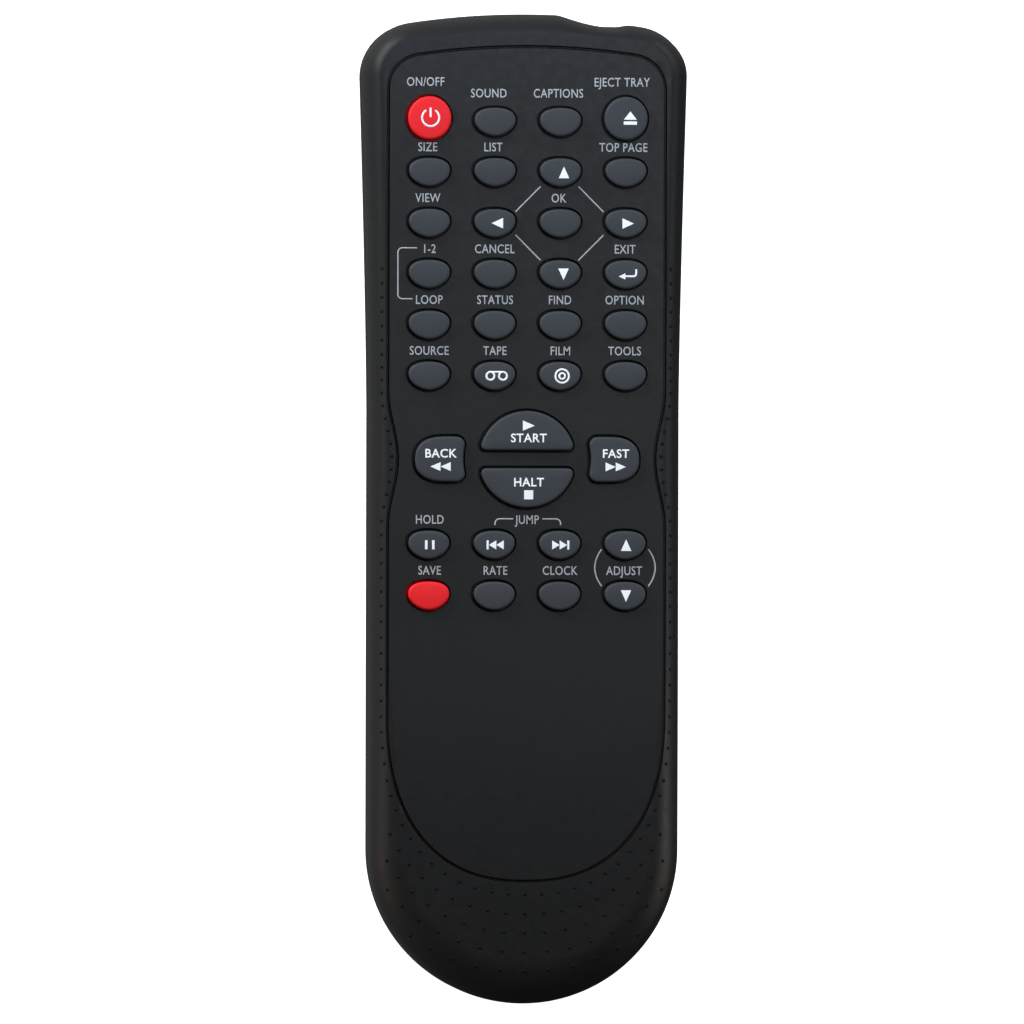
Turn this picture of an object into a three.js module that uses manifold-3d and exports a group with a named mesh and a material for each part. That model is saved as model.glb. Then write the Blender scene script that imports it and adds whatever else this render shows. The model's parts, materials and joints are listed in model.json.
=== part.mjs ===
// A remote control handset for a player that takes discs and tapes.
// Lengths are in millimetres. The handset lies on its back with +Z out of the key face,
// +Y towards the end that sends, and +X to the right of a person who reads the keys.
import * as THREE from "three";
import { mergeVertices } from "three/addons/utils/BufferGeometryUtils.js";
import Module from "manifold-3d";

const wasm = await Module();
wasm.setup();

// Gaps that hold all over the handset
const SEAT_GAP = 0.3;
const CUT_OVERRUN = 1;
const SHAVING_VOLUME = 1e-4;

// Keys: their spacing, counted from the front end
const COLUMN_PITCH = 11.9;
const ROW_PITCH = 9.24;
const COLUMNS = 4;
const MENU_ROWS = 5;
const FRONT_TO_ROUND_KEYS = 19.05;
const TOP_EGG_SETBACK = 0.7;
const ROUND_KEYS_TO_MENU = 9.85;
const MENU_TO_DISC = 15.1;
const DISC_TO_LAST_ROWS = 15.55;
const LAST_ROWS = 2;

// Keys: their outlines where they leave the panel
const EGG_WIDTH = 7.6;
const EGG_LENGTH = 5.3;
const EGG_FRONT_SHARE = 0.37;
const EGG_FRONT_POWER = 2.5;
const EGG_BACK_POWER = 2.1;
const EGG_SIDES = 16;
const ROUND_KEY_DIAMETER = 7.8;
const ROUND_KEY_SIDES = 20;
const DISC_RADIUS = 8.75;
const DISC_SLOT = 3.2;
const DISC_CORNER = 0.9;
const DISC_ARC_STEPS = 11;
const SIDE_KEY_RADIUS = 11.6;
const SIDE_KEY_WIDTH = 8.9;
const SIDE_KEY_LENGTH = 7.9;
const SIDE_KEY_CORNER = 1.5;
const SIDE_KEY_BACK_SHARE = 0.62;
const SIDE_KEY_ARC_STEPS = 8;
const CORNER_STEPS = 3;

// Keys: their heights and fits
const KEY_RISE = 1.35;
const KEY_CROWN = 0.15;
const KEY_EDGE_HEIGHT = 0.4;
const KEY_EDGE_INSET = 0.3;
const KEY_CLEARANCE = 0.35;
const KEY_TRAVEL = 1;
const KEY_STOP_GAP = 0.1;
const FLANGE_LAP = 0.45;
const FLANGE_THICKNESS = 0.7;

// Cells and their bay
const CELL_DIAMETER = 14.5;
const CELL_LENGTH = 50.5;
const CELL_NUB_DIAMETER = 5.5;
const CELL_NUB_HEIGHT = 1;
const CELL_EDGE = 0.6;
const CELL_SIDES = 16;
const CELL_CLEARANCE = 0.4;
const CELL_SPACING = 0.6;
const TRAY_WALL = 1;
const BAY_CORNER_SIDES = 16;

// Battery contacts
const CONTACT_THICKNESS = 0.5;
const CONTACT_WIDTH = 9.6;
const CONTACT_HEIGHT = 9.6;
const CONTACT_TAB_WIDTH = 2.4;
const CONTACT_TAB_REACH = 2.6;
const SPRING_LENGTH = 5;
const SPRING_WIRE = 0.8;
const SPRING_FOOT_RADIUS = 4.1;
const SPRING_TIP_RADIUS = 2.3;
const SPRING_CURLS = 3;
const SPRING_STEPS_PER_CURL = 8;
const SPRING_WIRE_SIDES = 5;

// Case walls
const CASE_WALL = 2;
const LAST_KEYS_TO_BAY = 5.15;
const BAY_TO_TAIL = 11.1;
const KEY_TO_GROOVE = 3.55;
const GROOVE_TO_SIDE = 2.95;
const FRONT_FLARE = 1.4;
const FLARE_LENGTH = 60.6;
const FLARE_POWER = 1.35;
const FRONT_ARC_RADIUS = 138;
const CORNER_RADIUS = 9.8;
const TAIL_LENGTH = 28;
const HEADROOM = 2.7;
const UPPER_DEPTH = 13;
const SHOULDER_WIDTH = 3.6;
const SHOULDER_HEIGHT = 6.5;
const INNER_SHOULDER_WIDTH = 2.4;
const INNER_SHOULDER_HEIGHT = 4.5;
const HEEL_WIDTH = 3.4;
const HEEL_HEIGHT = 5;
const TAIL_DROOP = 3;
const TAIL_DROOP_LENGTH = 55;
const FRONT_DROOP = 0.6;
const FRONT_DROOP_LENGTH = 26;
const PARTING_GAP = 0.3;
const LIP_HEIGHT = 1.8;
const LIP_ROOT = 2.6;
const LIP_THICKNESS = 1;
const LIP_ROOT_LAP = 1.2;

// How finely the case outline is divided
const CORNER_ARC_STEPS = 5;
const SIDE_STEPS = 6;
const TAIL_ARC_STEPS = 9;
const SHOULDER_STEPS = 4;
const INNER_SHOULDER_STEPS = 2;
const HEEL_STEPS = 3;

// Scallop in the front edge, before the sending window
const SCALLOP_START = 6;
const SCALLOP_DEEPEST = 14.4;
const SCALLOP_END = 18.8;
const SCALLOP_DEPTH = 1.5;
const CORNER_SETBACK = 0.6;
const SETBACK_FADE = 5;
const SCALLOP_STEPS = 4;

// Groove round the panel
const GROOVE_WIDTH = 0.6;
const GROOVE_DEPTH = 0.9;
const GROOVE_FRONT_RIM = 6.05;
const GROOVE_CORNER = 6.3;
const GROOVE_TAIL_RIM = 22.4;
const GROOVE_TAIL_LENGTH = 30.6;
const GROOVE_TAIL_POWER = 2.5;
const WAIST_DEPTH = 1.8;
const WAIST_HALF_LENGTH = 12.5;
const WAIST_STEPS = 10;
const GROOVE_ARC_STEPS = 5;
const GROOVE_TAIL_STEPS = 14;

// Sending window and what is behind it
const WINDOW_WIDTH = 9.2;
const WINDOW_HEIGHT = 6.4;
const WINDOW_RECESS = 0.4;
const WINDOW_FLANGE = 1;
const WINDOW_FLANGE_LAP = 1;
const LED_DIAMETER = 5;
const LED_LENGTH = 8.6;
const LED_RIM_DIAMETER = 5.8;
const LED_RIM_LENGTH = 1;
const LED_SIDES = 12;
const LED_DOME_STEPS = 3;
const LED_LEG = 0.5;
const LED_LEG_PITCH = 2.54;
const LED_LEG_LENGTH = 4;

// Circuit board, keypad mat and the pins through them
const BOARD_THICKNESS = 1.6;
const BOARD_FRONT_MARGIN = 8.6;
const BOARD_CORNER = 4;
const BOARD_SIDE_MARGIN = 4.7;
const MAT_FRONT_MARGIN = 9.4;
const MAT_TAIL_LAP = 1.8;
const MAT_HOLE_CLEARANCE = 0.3;
const MAT_HOLE_CHAMFER_SHARE = 0.16;
const PIN_RADIUS = 1.1;
const PIN_SIDES = 10;
const PIN_REACH = 3;
const PIN_CLEARANCE = 0.3;
const BOSS_WALL = 1.2;
const BOSS_SIDES = 12;
const BOARD_CORNER_STEPS = 4;

// Parts on the back of the board
const CHIP_LENGTH = 17.9;
const CHIP_WIDTH = 7.5;
const CHIP_HEIGHT = 2.3;
const CHIP_LEGS = 7;
const CHIP_LEG_WIDTH = 0.5;
const CHIP_LEG_REACH = 1.4;
const CHIP_LEG_THICKNESS = 0.3;
const CAPACITOR_DIAMETER = 5;
const CAPACITOR_LENGTH = 11;
const CAPACITOR_CRIMP = 0.35;
const CAPACITOR_CRIMP_WIDTH = 1;
const RESONATOR_LENGTH = 7.4;
const RESONATOR_WIDTH = 3.4;
const RESONATOR_HEIGHT = 5.2;
const TRANSISTOR_DIAMETER = 4.8;
const TRANSISTOR_FLAT = 1.3;
const TRANSISTOR_HEIGHT = 4.8;
const RESISTOR_DIAMETER = 2.4;
const RESISTOR_LENGTH = 6.4;
const RESISTOR_WAIST = 1.8;
const RESISTOR_END = 1.6;
const SMALL_PART_SIDES = 12;

// Battery door
const DOOR_THICKNESS = 2;
const DOOR_HALF_WIDTH = 20;
const DOOR_FRONT_LAP = 5.4;
const TONGUE_REACH = 1.2;
const TONGUE_THICKNESS = 0.8;
const RAIL_WIDTH = 3;
const RAIL_DEPTH = 1.4;
const GRIP_RIDGES = 5;
const GRIP_PITCH = 2.2;
const GRIP_GROOVE_WIDTH = 1;
const GRIP_GROOVE_DEPTH = 0.5;
const GRIP_HALF_WIDTH = 7;
const GRIP_SETBACK = 9;
const ARROW_HALF_WIDTH = 3.6;
const ARROW_LENGTH = 4.2;
const ARROW_GAP = 3;

// Heights worked out from the cells that the case has to hold
const CELL_BOTTOM = DOOR_THICKNESS + CELL_CLEARANCE;
const CELL_AXIS = CELL_BOTTOM + CELL_DIAMETER / 2;
const TRAY_TOP = CELL_BOTTOM + CELL_DIAMETER + CELL_CLEARANCE + TRAY_WALL;
const PANEL_Z = TRAY_TOP + HEADROOM + CASE_WALL;
const INNER_Z = PANEL_Z - CASE_WALL;
const PART_Z = PANEL_Z - UPPER_DEPTH;
const KEY_FACE_Z = PANEL_Z + KEY_RISE;
const FLANGE_TOP = INNER_Z - SEAT_GAP;
const FLANGE_BOTTOM = FLANGE_TOP - FLANGE_THICKNESS;
const BOARD_TOP = FLANGE_BOTTOM - KEY_TRAVEL - KEY_STOP_GAP;
const BOARD_BOTTOM = BOARD_TOP - BOARD_THICKNESS;
const LOWER_TOP = PART_Z - PARTING_GAP;
const UNDER_BOARD = BOARD_BOTTOM - SEAT_GAP;

// Widths worked out from the keys
const KEY_FIELD_HALF = ((COLUMNS - 1) / 2) * COLUMN_PITCH + EGG_WIDTH / 2;
const PANEL_HALF = KEY_FIELD_HALF + KEY_TO_GROOVE;
const BODY_HALF = PANEL_HALF + GROOVE_TO_SIDE;
const FRONT_HALF = BODY_HALF + FRONT_FLARE;

// Lengths worked out from the key rows and the cells
const CONTACT_STACK = SEAT_GAP + CONTACT_THICKNESS + SEAT_GAP;
const BAY_LENGTH = 2 * CONTACT_STACK + SPRING_LENGTH + SEAT_GAP + CELL_LENGTH;
const MENU_LENGTH = (MENU_ROWS - 1) * ROW_PITCH;
const LAST_LENGTH = (LAST_ROWS - 1) * ROW_PITCH;
const KEY_FIELD_LENGTH =
  ROUND_KEYS_TO_MENU + MENU_LENGTH + MENU_TO_DISC + DISC_TO_LAST_ROWS + LAST_LENGTH;
const BODY_LENGTH =
  FRONT_TO_ROUND_KEYS + KEY_FIELD_LENGTH + LAST_KEYS_TO_BAY + BAY_LENGTH + BAY_TO_TAIL;
const FRONT_Y = BODY_LENGTH / 2;
const TAIL_Y = -FRONT_Y;
const ROUND_KEYS_Y = FRONT_Y - FRONT_TO_ROUND_KEYS;
const MENU_Y = ROUND_KEYS_Y - ROUND_KEYS_TO_MENU;
const DISC_Y = MENU_Y - MENU_LENGTH - MENU_TO_DISC;
const LAST_ROWS_Y = DISC_Y - DISC_TO_LAST_ROWS;
const BAY_FRONT = LAST_ROWS_Y - LAST_LENGTH - LAST_KEYS_TO_BAY;
const BAY_TAIL = BAY_FRONT - BAY_LENGTH;
const DOOR_FRONT = BAY_FRONT + DOOR_FRONT_LAP;
const BOARD_TAIL = BAY_FRONT + TRAY_WALL + SEAT_GAP;
const CELL_X = (CELL_DIAMETER + CELL_SPACING) / 2;
const BAY_HALF = CELL_X + CELL_DIAMETER / 2 + CELL_CLEARANCE;

// A closed mesh becomes a solid that can be joined and cut
function solidOf(geometry) {
  const bare = new THREE.BufferGeometry();
  bare.setAttribute("position", geometry.getAttribute("position").clone());
  if (geometry.index) bare.setIndex(geometry.index.clone());
  const merged = mergeVertices(bare);
  const corners = merged.index.array;
  const kept = [];
  for (let i = 0; i < corners.length; i += 3) {
    const [a, b, c] = [corners[i], corners[i + 1], corners[i + 2]];
    if (a !== b && b !== c && c !== a) kept.push(a, b, c);
  }
  return new wasm.Manifold(
    new wasm.Mesh({
      numProp: 3,
      vertProperties: merged.attributes.position.array,
      triVerts: new Uint32Array(kept),
    }),
  );
}

// A solid becomes a mesh geometry again. A cut that runs along an edge can leave shavings
// without any volume, and they are left out.
function geometryOf(solid) {
  const bodies = solid.decompose().filter((body) => body.volume() > SHAVING_VOLUME);
  const mesh = bodies.reduce((whole, body) => whole.add(body)).getMesh();
  const places = new Float32Array(mesh.numVert * 3);
  for (let i = 0; i < mesh.numVert; i += 1) {
    const start = i * mesh.numProp;
    places.set(mesh.vertProperties.subarray(start, start + 3), i * 3);
  }
  const geometry = new THREE.BufferGeometry();
  geometry.setAttribute("position", new THREE.BufferAttribute(places, 3));
  geometry.setIndex(new THREE.BufferAttribute(new Uint32Array(mesh.triVerts), 1));
  geometry.computeVertexNormals();
  return geometry;
}

// Closed loops of flat points, all of them counterclockwise seen from above
function circleLoop(x, y, radius, sides) {
  const loop = [];
  for (let i = 0; i < sides; i += 1) {
    const turn = (2 * Math.PI * i) / sides;
    loop.push(new THREE.Vector2(x + radius * Math.cos(turn), y + radius * Math.sin(turn)));
  }
  return loop;
}

function arcPoints(x, y, radius, from, to, steps) {
  const points = [];
  for (let i = 0; i <= steps; i += 1) {
    const turn = from + ((to - from) * i) / steps;
    points.push(new THREE.Vector2(x + radius * Math.cos(turn), y + radius * Math.sin(turn)));
  }
  return points;
}

// Moves every side of a loop outwards by one distance, with mitred corners
function offsetLoop(loop, distance) {
  const count = loop.length;
  return loop.map((point, i) => {
    const before = loop[(i + count - 1) % count];
    const after = loop[(i + 1) % count];
    const into = point.clone().sub(before).normalize();
    const out = after.clone().sub(point).normalize();
    const first = new THREE.Vector2(into.y, -into.x);
    const second = new THREE.Vector2(out.y, -out.x);
    const mitre = first.add(second).normalize();
    const stretch = Math.max(mitre.dot(second), Math.SQRT1_2);
    return point.clone().addScaledVector(mitre, distance / stretch);
  });
}

// Skins a stack of rings that have the same count of points, from the lowest to the highest.
// Each end closes on its own middle point.
function skinRings(rings, lowMiddle, highMiddle) {
  const count = rings[0].length;
  const places = [...rings.flat(), lowMiddle, highMiddle];
  const low = places.length - 2;
  const high = places.length - 1;
  const last = (rings.length - 1) * count;
  const faces = [];
  for (let i = 0; i < count; i += 1) {
    const j = (i + 1) % count;
    for (let ring = 0; ring < rings.length - 1; ring += 1) {
      const here = ring * count;
      const above = here + count;
      faces.push(here + i, here + j, above + j, here + i, above + j, above + i);
    }
    faces.push(low, j, i, high, last + i, last + j);
  }
  return closedGeometry(places, faces);
}

function closedGeometry(places, faces) {
  const geometry = new THREE.BufferGeometry();
  geometry.setFromPoints(places);
  geometry.setIndex(faces);
  geometry.computeVertexNormals();
  return geometry;
}

function raise(loop, z) {
  return loop.map((point) => new THREE.Vector3(point.x, point.y, z));
}

function middleOf(loop) {
  const sum = new THREE.Vector2();
  loop.forEach((point) => sum.add(point));
  return sum.divideScalar(loop.length);
}

// An upright prism over any loop that its own middle can see all of
function prism(loop, low, high) {
  const middle = middleOf(loop);
  return skinRings(
    [raise(loop, low), raise(loop, high)],
    new THREE.Vector3(middle.x, middle.y, low),
    new THREE.Vector3(middle.x, middle.y, high),
  );
}

// A box between two opposite corners
function blockGeometry(low, high) {
  const size = new THREE.Vector3(...high).sub(new THREE.Vector3(...low));
  const middle = new THREE.Vector3(...low).addScaledVector(size, 1 / 2);
  return new THREE.BoxGeometry(size.x, size.y, size.z).translate(middle.x, middle.y, middle.z);
}

function block(low, high) {
  return solidOf(blockGeometry(low, high));
}

// A bar along Y with the given outline across it
function barAlongY(outline, from, to) {
  const shape = new THREE.Shape(outline);
  const geometry = new THREE.ExtrudeGeometry(shape, { depth: to - from, bevelEnabled: false });
  return geometry.rotateX(Math.PI / 2).translate(0, to, 0);
}

// Outline of the case: one side of it, from the front middle round to the tail tip.
// Each station has its place and the direction that faces out of the case there.
function caseStations() {
  const stations = [];
  const arcCentre = FRONT_Y - FRONT_ARC_RADIUS;
  const cornerX = FRONT_HALF - CORNER_RADIUS;
  const reach = FRONT_ARC_RADIUS - CORNER_RADIUS;
  const cornerY = arcCentre + Math.sqrt(reach ** 2 - cornerX ** 2);
  const arcEnd = Math.atan2(cornerY - arcCentre, cornerX);
  const onArc = (x) => {
    const turn = Math.acos(x / FRONT_ARC_RADIUS);
    stations.push({ x, y: arcCentre + FRONT_ARC_RADIUS * Math.sin(turn), turn });
  };
  onArc(0);
  onArc(SCALLOP_START / 2);
  for (let i = 0; i < SCALLOP_STEPS; i += 1) {
    onArc(SCALLOP_START + ((SCALLOP_DEEPEST - SCALLOP_START) * i) / SCALLOP_STEPS);
  }
  for (let i = 0; i <= SCALLOP_STEPS; i += 2) {
    onArc(SCALLOP_DEEPEST + ((SCALLOP_END - SCALLOP_DEEPEST) * i) / SCALLOP_STEPS);
  }
  for (let i = 0; i <= CORNER_ARC_STEPS; i += 1) {
    const turn = arcEnd * (1 - i / CORNER_ARC_STEPS);
    const x = cornerX + CORNER_RADIUS * Math.cos(turn);
    stations.push({ x, y: cornerY + CORNER_RADIUS * Math.sin(turn), turn });
  }
  for (let i = 1; i <= SIDE_STEPS; i += 1) {
    const left = 1 - i / SIDE_STEPS;
    const x = BODY_HALF + FRONT_FLARE * left ** FLARE_POWER;
    const slope = (FRONT_FLARE * FLARE_POWER * left ** (FLARE_POWER - 1)) / FLARE_LENGTH;
    stations.push({ x, y: cornerY - FLARE_LENGTH * (1 - left), turn: -Math.atan(slope) });
  }
  const tailCentre = TAIL_Y + TAIL_LENGTH;
  const sideEnd = cornerY - FLARE_LENGTH;
  for (let i = 1; i < SIDE_STEPS; i += 1) {
    const y = sideEnd + ((tailCentre - sideEnd) * i) / SIDE_STEPS;
    stations.push({ x: BODY_HALF, y, turn: 0 });
  }
  for (let i = 0; i <= TAIL_ARC_STEPS; i += 1) {
    const sweep = ((Math.PI / 2) * i) / TAIL_ARC_STEPS;
    const [c, s] = [Math.cos(sweep), Math.sin(sweep)];
    const turn = -Math.atan2(s * BODY_HALF, c * TAIL_LENGTH);
    stations.push({ x: BODY_HALF * c, y: tailCentre - TAIL_LENGTH * s, turn });
  }
  return stations;
}

// How far the front edge stands back at this place, on the side with the sending window
function scallopDepth(x, y) {
  if (x <= SCALLOP_START) return 0;
  const fadeStart = FRONT_Y - CORNER_RADIUS;
  if (x < SCALLOP_DEEPEST) {
    const along = (x - SCALLOP_START) / (SCALLOP_DEEPEST - SCALLOP_START);
    return y > 0 ? SCALLOP_DEPTH * Math.sin((Math.PI / 2) * along) : 0;
  }
  const along = Math.min((x - SCALLOP_DEEPEST) / (SCALLOP_END - SCALLOP_DEEPEST), 1);
  const dip = (SCALLOP_DEPTH - CORNER_SETBACK) * Math.cos((Math.PI / 2) * along);
  const fade = THREE.MathUtils.clamp((y - fadeStart) / SETBACK_FADE, 0, 1);
  return (CORNER_SETBACK + dip) * fade;
}

// The whole outline, counterclockwise from the front middle, moved inwards by one distance.
// The scallop is there in full or by a share.
const STATIONS = caseStations();

function caseLoop(inset, scallopShare = 1) {
  const place = ({ x, y, turn }, side) => {
    const across = side * Math.max(x - inset * Math.cos(turn), 0);
    const along = y - inset * Math.sin(turn);
    return new THREE.Vector2(across, along - scallopShare * scallopDepth(across, y));
  };
  const inner = STATIONS.slice(1, -1);
  const right = inner.map((station) => place(station, 1)).reverse();
  const left = inner.map((station) => place(station, -1));
  return [place(STATIONS[0], 1), ...left, place(STATIONS.at(-1), 1), ...right];
}

// The face sinks towards both ends
function droop(y) {
  const tail = Math.max((TAIL_Y + TAIL_DROOP_LENGTH - y) / TAIL_DROOP_LENGTH, 0);
  const front = Math.max((y - FRONT_Y + FRONT_DROOP_LENGTH) / FRONT_DROOP_LENGTH, 0);
  return TAIL_DROOP * tail ** 2 + FRONT_DROOP * front ** 2;
}

// Skins rings made by caseLoop. The two ends are closed by strips straight across.
function skinCase(rings) {
  const count = rings[0].length;
  const places = rings.flat();
  const last = (rings.length - 1) * count;
  const faces = [];
  for (let i = 0; i < count; i += 1) {
    const j = (i + 1) % count;
    for (let ring = 0; ring < rings.length - 1; ring += 1) {
      const here = ring * count;
      const above = here + count;
      faces.push(here + i, here + j, above + j, here + i, above + j, above + i);
    }
  }
  const strip = (a, b, c) => faces.push(a, c, b, last + a, last + b, last + c);
  for (let i = 0; i < count / 2; i += 1) {
    const [a, b] = [i, i + 1];
    const [mateA, mateB] = [(count - i) % count, count - i - 1];
    if (a !== mateA) strip(a, b, mateA);
    if (b !== mateB) strip(b, mateB, mateA);
  }
  return solidOf(closedGeometry(places, faces));
}

// A ring of the case whose height follows the face where it sinks. The scallop runs out
// at the top of the shoulder.
function faceRing(inset, z) {
  return caseLoop(inset, 1 - inset / SHOULDER_WIDTH).map((point) => {
    const sunk = (droop(point.y) * (z - PART_Z)) / (PANEL_Z - PART_Z);
    return new THREE.Vector3(point.x, point.y, z - sunk);
  });
}

// Outside of the upper case, with its rounded shoulder
function upperOuter() {
  const rings = [raise(caseLoop(0), PART_Z)];
  for (let i = 0; i <= SHOULDER_STEPS; i += 1) {
    const turn = ((Math.PI / 2) * i) / SHOULDER_STEPS;
    const inset = SHOULDER_WIDTH * (1 - Math.cos(turn));
    rings.push(faceRing(inset, PANEL_Z - SHOULDER_HEIGHT * (1 - Math.sin(turn))));
  }
  return skinCase(rings);
}

function upperInner() {
  const rings = [raise(caseLoop(CASE_WALL), PART_Z - CUT_OVERRUN)];
  for (let i = 0; i <= INNER_SHOULDER_STEPS; i += 1) {
    const turn = ((Math.PI / 2) * i) / INNER_SHOULDER_STEPS;
    const inset = CASE_WALL + INNER_SHOULDER_WIDTH * (1 - Math.cos(turn));
    const z = INNER_Z - INNER_SHOULDER_HEIGHT * (1 - Math.sin(turn));
    rings.push(caseLoop(inset).map(({ x, y }) => new THREE.Vector3(x, y, z - droop(y))));
  }
  return skinCase(rings);
}

// Outside of the lower case, with its rounded heel
function lowerOuter(top) {
  const rings = [];
  for (let i = 0; i <= HEEL_STEPS; i += 1) {
    const turn = ((Math.PI / 2) * i) / HEEL_STEPS;
    const inset = HEEL_WIDTH * (1 - Math.sin(turn));
    rings.push(raise(caseLoop(inset), HEEL_HEIGHT * (1 - Math.cos(turn))));
  }
  rings.push(raise(caseLoop(0), top));
  return skinCase(rings);
}

// The groove line round the panel, moved outwards by one distance.
// The line draws in at the waist beside the two large keys and ends in a round tail.
function grooveLoop(outwards) {
  const side = [];
  const arcCentre = FRONT_Y - FRONT_ARC_RADIUS;
  const arcRadius = FRONT_ARC_RADIUS - GROOVE_FRONT_RIM;
  const cornerX = PANEL_HALF - GROOVE_CORNER;
  const cornerY = arcCentre + Math.sqrt((arcRadius - GROOVE_CORNER) ** 2 - cornerX ** 2);
  const arcEnd = Math.atan2(cornerY - arcCentre, cornerX);
  for (let i = 0; i < GROOVE_ARC_STEPS; i += 1) {
    const turn = Math.PI / 2 + ((arcEnd - Math.PI / 2) * i) / GROOVE_ARC_STEPS;
    side.push([arcRadius * Math.cos(turn), arcCentre + arcRadius * Math.sin(turn)]);
  }
  for (let i = 0; i <= CORNER_ARC_STEPS; i += 1) {
    const turn = arcEnd * (1 - i / CORNER_ARC_STEPS);
    const x = cornerX + GROOVE_CORNER * Math.cos(turn);
    side.push([x, cornerY + GROOVE_CORNER * Math.sin(turn)]);
  }
  for (let i = 0; i <= WAIST_STEPS; i += 1) {
    const along = (2 * i) / WAIST_STEPS - 1;
    const dip = WAIST_DEPTH * Math.cos((Math.PI / 2) * along) ** 2;
    side.push([PANEL_HALF - dip, DISC_Y - along * WAIST_HALF_LENGTH]);
  }
  const tailCentre = TAIL_Y + GROOVE_TAIL_RIM + GROOVE_TAIL_LENGTH;
  for (let i = 0; i <= GROOVE_TAIL_STEPS; i += 1) {
    const sweep = ((Math.PI / 2) * i) / GROOVE_TAIL_STEPS;
    const x = PANEL_HALF * Math.cos(sweep) ** (2 / GROOVE_TAIL_POWER);
    const drop = GROOVE_TAIL_LENGTH * Math.sin(sweep) ** (2 / GROOVE_TAIL_POWER);
    side.push([x, tailCentre - drop]);
  }
  const inner = side.slice(1, -1);
  const left = inner.map(([x, y]) => new THREE.Vector2(-x, y));
  const right = inner.map(([x, y]) => new THREE.Vector2(x, y)).reverse();
  const front = new THREE.Vector2(0, side[0][1]);
  const tail = new THREE.Vector2(0, side.at(-1)[1]);
  return offsetLoop([front, ...left, tail, ...right], outwards);
}

// The groove is cut to one depth all round, under the face where it sinks
function grooveCutter(outer) {
  const half = GROOVE_WIDTH / 2;
  const top = PANEL_Z + CUT_OVERRUN;
  const ring = skinCase([raise(grooveLoop(half), PART_Z), raise(grooveLoop(half), top)]).subtract(
    skinCase([
      raise(grooveLoop(-half), PART_Z - CUT_OVERRUN),
      raise(grooveLoop(-half), top + CUT_OVERRUN),
    ]),
  );
  return ring.subtract(outer.translate([0, 0, -GROOVE_DEPTH]));
}

// Outlines of the keys where they leave the panel
function eggLoop(x, y) {
  const widest = y + EGG_LENGTH * (1 / 2 - EGG_FRONT_SHARE);
  const loop = [];
  for (let i = 0; i < EGG_SIDES; i += 1) {
    const turn = (2 * Math.PI * i) / EGG_SIDES;
    const [c, s] = [Math.cos(turn), Math.sin(turn)];
    const front = s > 0;
    const power = 2 / (front ? EGG_FRONT_POWER : EGG_BACK_POWER);
    const reach = EGG_LENGTH * (front ? EGG_FRONT_SHARE : 1 - EGG_FRONT_SHARE);
    const across = (EGG_WIDTH / 2) * Math.sign(c) * Math.abs(c) ** power;
    const along = reach * Math.sign(s) * Math.abs(s) ** power;
    loop.push(new THREE.Vector2(x + across, widest + along));
  }
  return loop;
}

// Half of the large disc, beyond its slot. side is 1 for the front half and -1 for the other.
function discHalfLoop(side) {
  const inner = DISC_SLOT / 2 + DISC_CORNER;
  const reach = DISC_RADIUS - DISC_CORNER;
  const cornerX = Math.sqrt(reach ** 2 - inner ** 2);
  const start = Math.atan2(inner, cornerX);
  const quarter = Math.PI / 2;
  const points = [
    ...arcPoints(0, 0, DISC_RADIUS, start, 2 * quarter - start, DISC_ARC_STEPS),
    ...arcPoints(-cornerX, inner, DISC_CORNER, 2 * quarter, 3 * quarter, CORNER_STEPS),
    ...arcPoints(cornerX, inner, DISC_CORNER, -quarter, 0, CORNER_STEPS),
  ];
  return points.map(({ x, y }) => new THREE.Vector2(side * x, DISC_Y + side * y));
}

// The key beside the disc: round on the far side, hollow towards the disc
function sideKeyLoop(side) {
  const far = SIDE_KEY_RADIUS + SIDE_KEY_WIDTH;
  const half = SIDE_KEY_LENGTH / 2;
  const quarter = Math.PI / 2;
  const roundWidth = SIDE_KEY_WIDTH * SIDE_KEY_BACK_SHARE;
  const farSide = arcPoints(0, 0, 1, -quarter, quarter, SIDE_KEY_ARC_STEPS).map(
    ({ x, y }) => new THREE.Vector2(far - roundWidth + roundWidth * x, half * y),
  );
  const innerEdge = (y) => Math.sqrt(SIDE_KEY_RADIUS ** 2 - y ** 2);
  const cornerY = half - SIDE_KEY_CORNER;
  const cornerX = innerEdge(cornerY) + SIDE_KEY_CORNER;
  const points = [
    ...farSide,
    ...arcPoints(cornerX, cornerY, SIDE_KEY_CORNER, quarter, 2 * quarter, CORNER_STEPS),
    new THREE.Vector2(innerEdge(0), 0),
    ...arcPoints(cornerX, -cornerY, SIDE_KEY_CORNER, 2 * quarter, 3 * quarter, CORNER_STEPS),
  ];
  const loop = points.map(({ x, y }) => new THREE.Vector2(side * x, DISC_Y + y));
  return side > 0 ? loop : loop.reverse();
}

// Names of the egg and round keys, row by row from the front end and from left to right
const TOP_KEYS = ["power", "sound", "caption", "eject"];
const MENU_KEYS = [
  ["size", "list", "up", "menu"],
  ["view", "left", "enter", "right"],
  ["mark", "cancel", "down", "return"],
  ["loop", "info", "find", "option"],
  ["source", "tape", "disc", "tools"],
];
const DISC_KEYS = ["play", "rewind", "forward", "stop"];
const LAST_KEYS = [
  ["pause", "skip_back", "skip_forward", "tracking_up"],
  ["record", "speed", "timer", "tracking_down"],
];

function columnX(column) {
  return (column - (COLUMNS - 1) / 2) * COLUMN_PITCH;
}

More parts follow.
